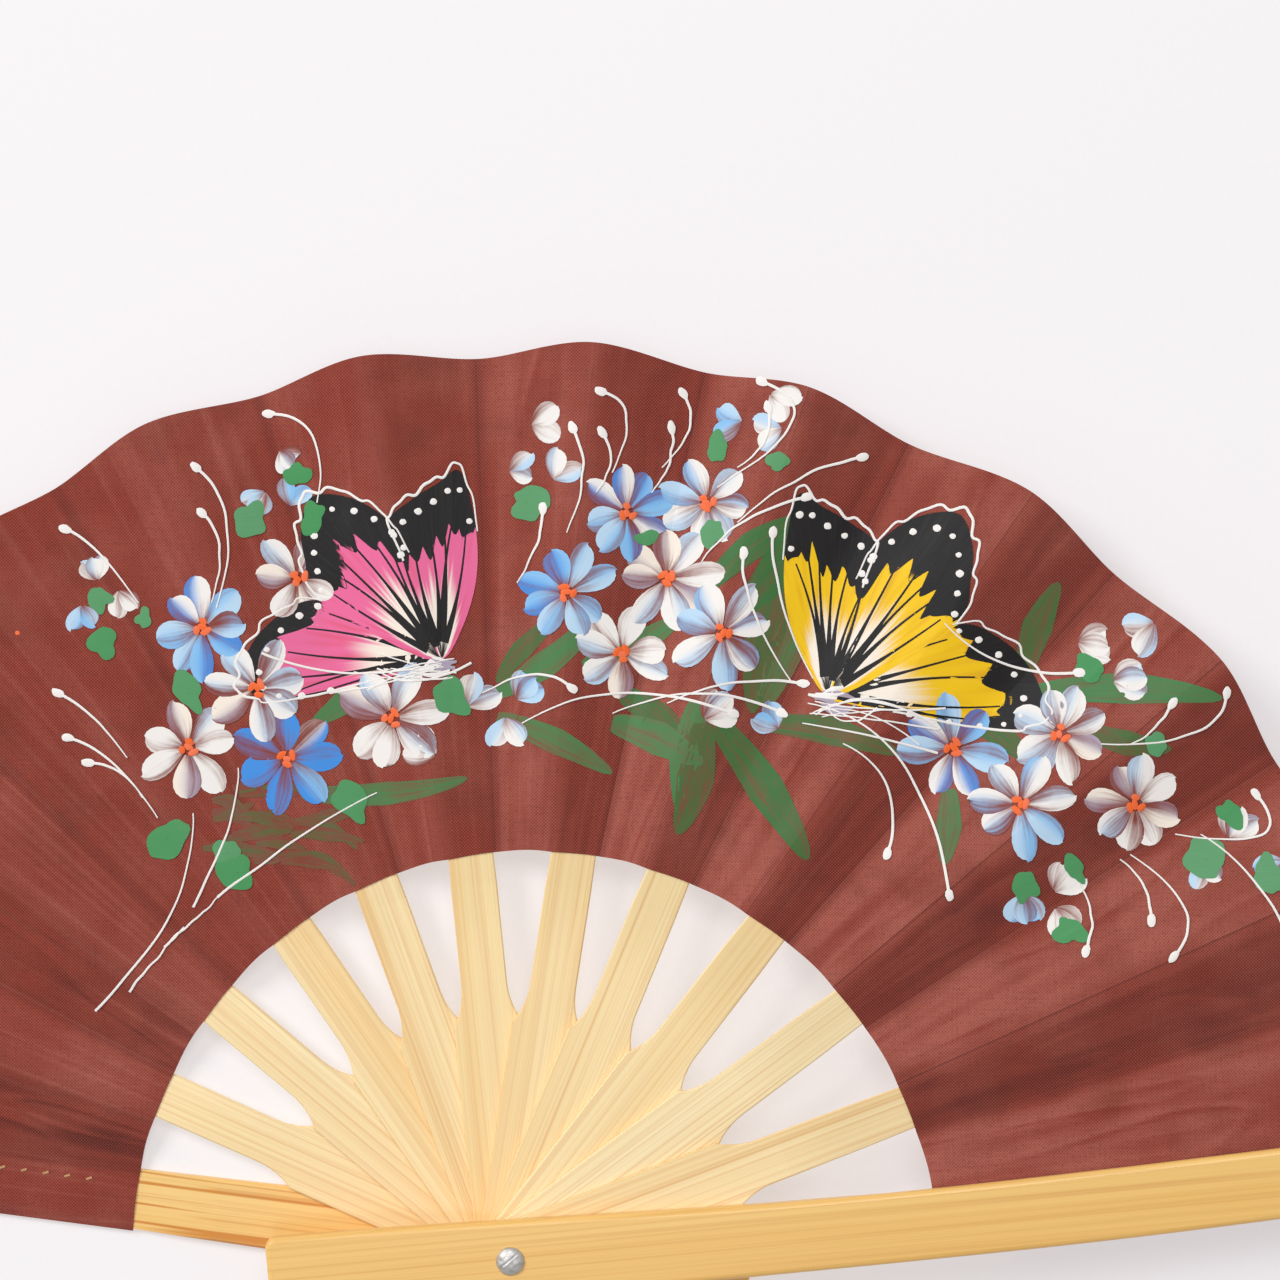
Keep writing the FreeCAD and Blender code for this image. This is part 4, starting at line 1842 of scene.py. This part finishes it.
@dataclass
class Rivet:
    """The pin through the ribs with its hammered head, and the washer behind."""

    head_radius: float = 2.8 * MM
    head_height: float = 1.2 * MM
    pin_radius: float = 1.5 * MM

    def build(self) -> list[bpy.types.Object]:
        """Model the rivet and dress the washer.

        Returns:
            The rivet.
        """
        low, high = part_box("rivet")
        seat = high.z - self.head_height
        bpy.ops.object.select_all(action="DESELECT")
        bpy.ops.mesh.primitive_uv_sphere_add(segments=64, ring_count=48, radius=self.head_radius,
                                             location=(0, 0, seat))
        head = bpy.context.active_object
        head.name = "rivet_pin_and_head"
        head.data.name = head.name
        only(head)
        bpy.ops.object.transform_apply(location=True, rotation=True, scale=True)
        bpy.ops.object.mode_set(mode="EDIT")
        bpy.ops.mesh.select_all(action="SELECT")
        bpy.ops.mesh.bisect(plane_co=(0, 0, seat), plane_no=(0, 0, 1), clear_inner=True, use_fill=False)
        bpy.ops.mesh.select_all(action="SELECT")
        bpy.ops.transform.resize(value=(1, 1, self.head_height / self.head_radius),
                                 center_override=(0, 0, seat))
        bpy.ops.mesh.select_mode(type="EDGE")
        bpy.ops.mesh.select_all(action="DESELECT")
        self._select_ring(head, seat)
        bpy.ops.mesh.extrude_edges_move()
        shrink = self.pin_radius / self.head_radius
        bpy.ops.transform.resize(value=(shrink, shrink, 1), center_override=(0, 0, seat))
        bpy.ops.mesh.extrude_edges_move(TRANSFORM_OT_translate={"value": (0, 0, low.z - seat)})
        bpy.ops.mesh.edge_face_add()
        bpy.ops.mesh.select_all(action="SELECT")
        bpy.ops.mesh.remove_doubles(threshold=1e-7)
        bpy.ops.mesh.normals_make_consistent(inside=False)
        bpy.ops.object.mode_set(mode="OBJECT")
        self._hammer(head, seat)
        bpy.ops.object.shade_smooth_by_angle(angle=math.radians(40))
        metal = RivetMetal("rivet_metal").material()
        head.data.materials.append(metal)
        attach(head, frame["joints"][0]["parent"])
        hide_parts("rivet")
        dress_node("rivet_washer", metal)
        return [head]

    @staticmethod
    def _select_ring(head: bpy.types.Object, seat: float) -> None:
        """Select the open ring of edges at the dome's foot.

        Args:
            head: The dome, in edit mode.
            seat: The height of its foot.
        """
        mesh = bmesh.from_edit_mesh(head.data)
        for edge in mesh.edges:
            edge.select_set(edge.is_boundary and all(abs(v.co.z - seat) < 1e-6 for v in edge.verts))
        bmesh.update_edit_mesh(head.data)

    def _hammer(self, head: bpy.types.Object, seat: float) -> None:
        """Dent the dome with hammer marks and one shallow scratch across it.

        Args:
            head: The rivet.
            seat: The height of the dome's foot.
        """
        for vertex in head.data.vertices:
            place = vertex.co
            if place.z <= seat + 0.05 * self.head_height:
                continue
            dent = noise.noise(Vector(place) * 900)
            facet = noise.noise(Vector(place) * 1700)
            line = abs(place.x * math.sin(0.7) - place.y * math.cos(0.7) + 0.3 * MM)
            scratch = max(0.0, 1 - line / (0.28 * MM))
            place.z += (0.12 * dent + 0.05 * facet) * MM - 0.16 * MM * scratch
        head.data.update()


@dataclass
class Hem:
    """The running stitches along the hem, which keep their CAD shape."""

    leaf: Leaf

    def dress(self) -> None:
        """Dress the stitches with thread."""
        dress_node("hem_stitches", Thread("hem_thread", self.leaf.ribs[0].angle).material())


# --------------------------------------------------------------------- studio


@dataclass
class Studio:
    """A pale board, soft lights and a camera straight above.

    The camera stands over the centre at its height, and sees the view's width at the subject's height.
    """

    centre: Point = (25.6 * MM, 122.6 * MM)
    height: float = 0.80
    view: float = 256.0 * MM
    sensor: float = 36.0
    subject: float = 8.0 * MM
    surround: float = 0.36
    gap: float = 0.02 * MM

    def build(self) -> None:
        """Set up the floor, the world, the lights and the camera."""
        self._floor()
        self._world()
        self._light("key_upper_left", (-1.60, 1.15, 1.70), 1.0, 36.0)
        self._light("window_top", (0.12, 0.75, 1.60), 0.6, 6.6)
        self._light("lamp_above", (-0.05, -0.155, 1.60), 0.22, 1.25)
        self._camera()

    def _floor(self) -> None:
        """The board under the fan, a hair below the rear guard's underside."""
        bpy.ops.object.select_all(action="DESELECT")
        bpy.ops.mesh.primitive_plane_add(size=4.0, location=(0, 0, CAD_BOX[0].z - self.gap))
        floor = bpy.context.active_object
        floor.name = "board"
        floor.data.materials.append(Board("pale_board").material())
        floor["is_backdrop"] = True

    def _world(self) -> None:
        """An even pale surround."""
        world = bpy.data.worlds.new("surround")
        world.use_nodes = True
        shade = world.node_tree.nodes["Background"]
        shade.inputs["Color"].default_value = (1.0, 0.99, 1.0, 1.0)
        shade.inputs["Strength"].default_value = self.surround
        bpy.context.scene.world = world
        bpy.context.scene.view_settings.view_transform = "Standard"

    def _light(self, name: str, place: tuple[float, float, float], size: float, power: float) -> None:
        """A soft square light that looks at the middle of the leaf.

        Args:
            name: Its name.
            place: Where it stands.
            size: Its side.
            power: Its power, in watts.
        """
        data = bpy.data.lights.new(name, "AREA")
        data.shape = "SQUARE"
        data.size = size
        data.energy = power
        lamp = bpy.data.objects.new(name, data)
        bpy.context.scene.collection.objects.link(lamp)
        target = Vector((self.centre[0], self.centre[1] - 20 * MM, 0.0))
        lamp.location = place
        lamp.rotation_euler = (target - Vector(place)).to_track_quat("-Z", "Y").to_euler()

    def _camera(self) -> None:
        """The camera, looking straight down with the leaf's far edge at the top."""
        data = bpy.data.cameras.new("camera")
        data.sensor_width = self.sensor
        data.lens = self.sensor * (self.height - self.subject) / self.view
        data.clip_start = 0.05
        data.clip_end = 20.0
        camera = bpy.data.objects.new("camera", data)
        bpy.context.scene.collection.objects.link(camera)
        camera.location = (self.centre[0], self.centre[1], self.height)
        bpy.context.scene.camera = camera


def corners(box: Iterable[Vector]) -> list[list[float]]:
    """A box's two corners as plain lists of numbers."""
    return [list(map(float, corner)) for corner in box]


def main() -> None:
    """Build every piece in order and report each."""
    logging.basicConfig(level=logging.INFO, format="%(name)s: %(message)s")
    Studio().build()
    LOG.info("studio is set up")
    leaf = Leaf()
    made = leaf.build(LeafCloth("leaf_cloth").material())
    made += Painting(leaf).build(Acrylic("leaf_paint").material())
    Ribs(leaf).dress()
    made += Rivet().build()
    Hem(leaf).dress()
    for piece in made:
        LOG.info("%s: %d faces", piece.name, len(piece.data.polygons))
    {"cad": corners(CAD_BOX), "visual": corners(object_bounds())}


if __name__ == "__main__":
    main()
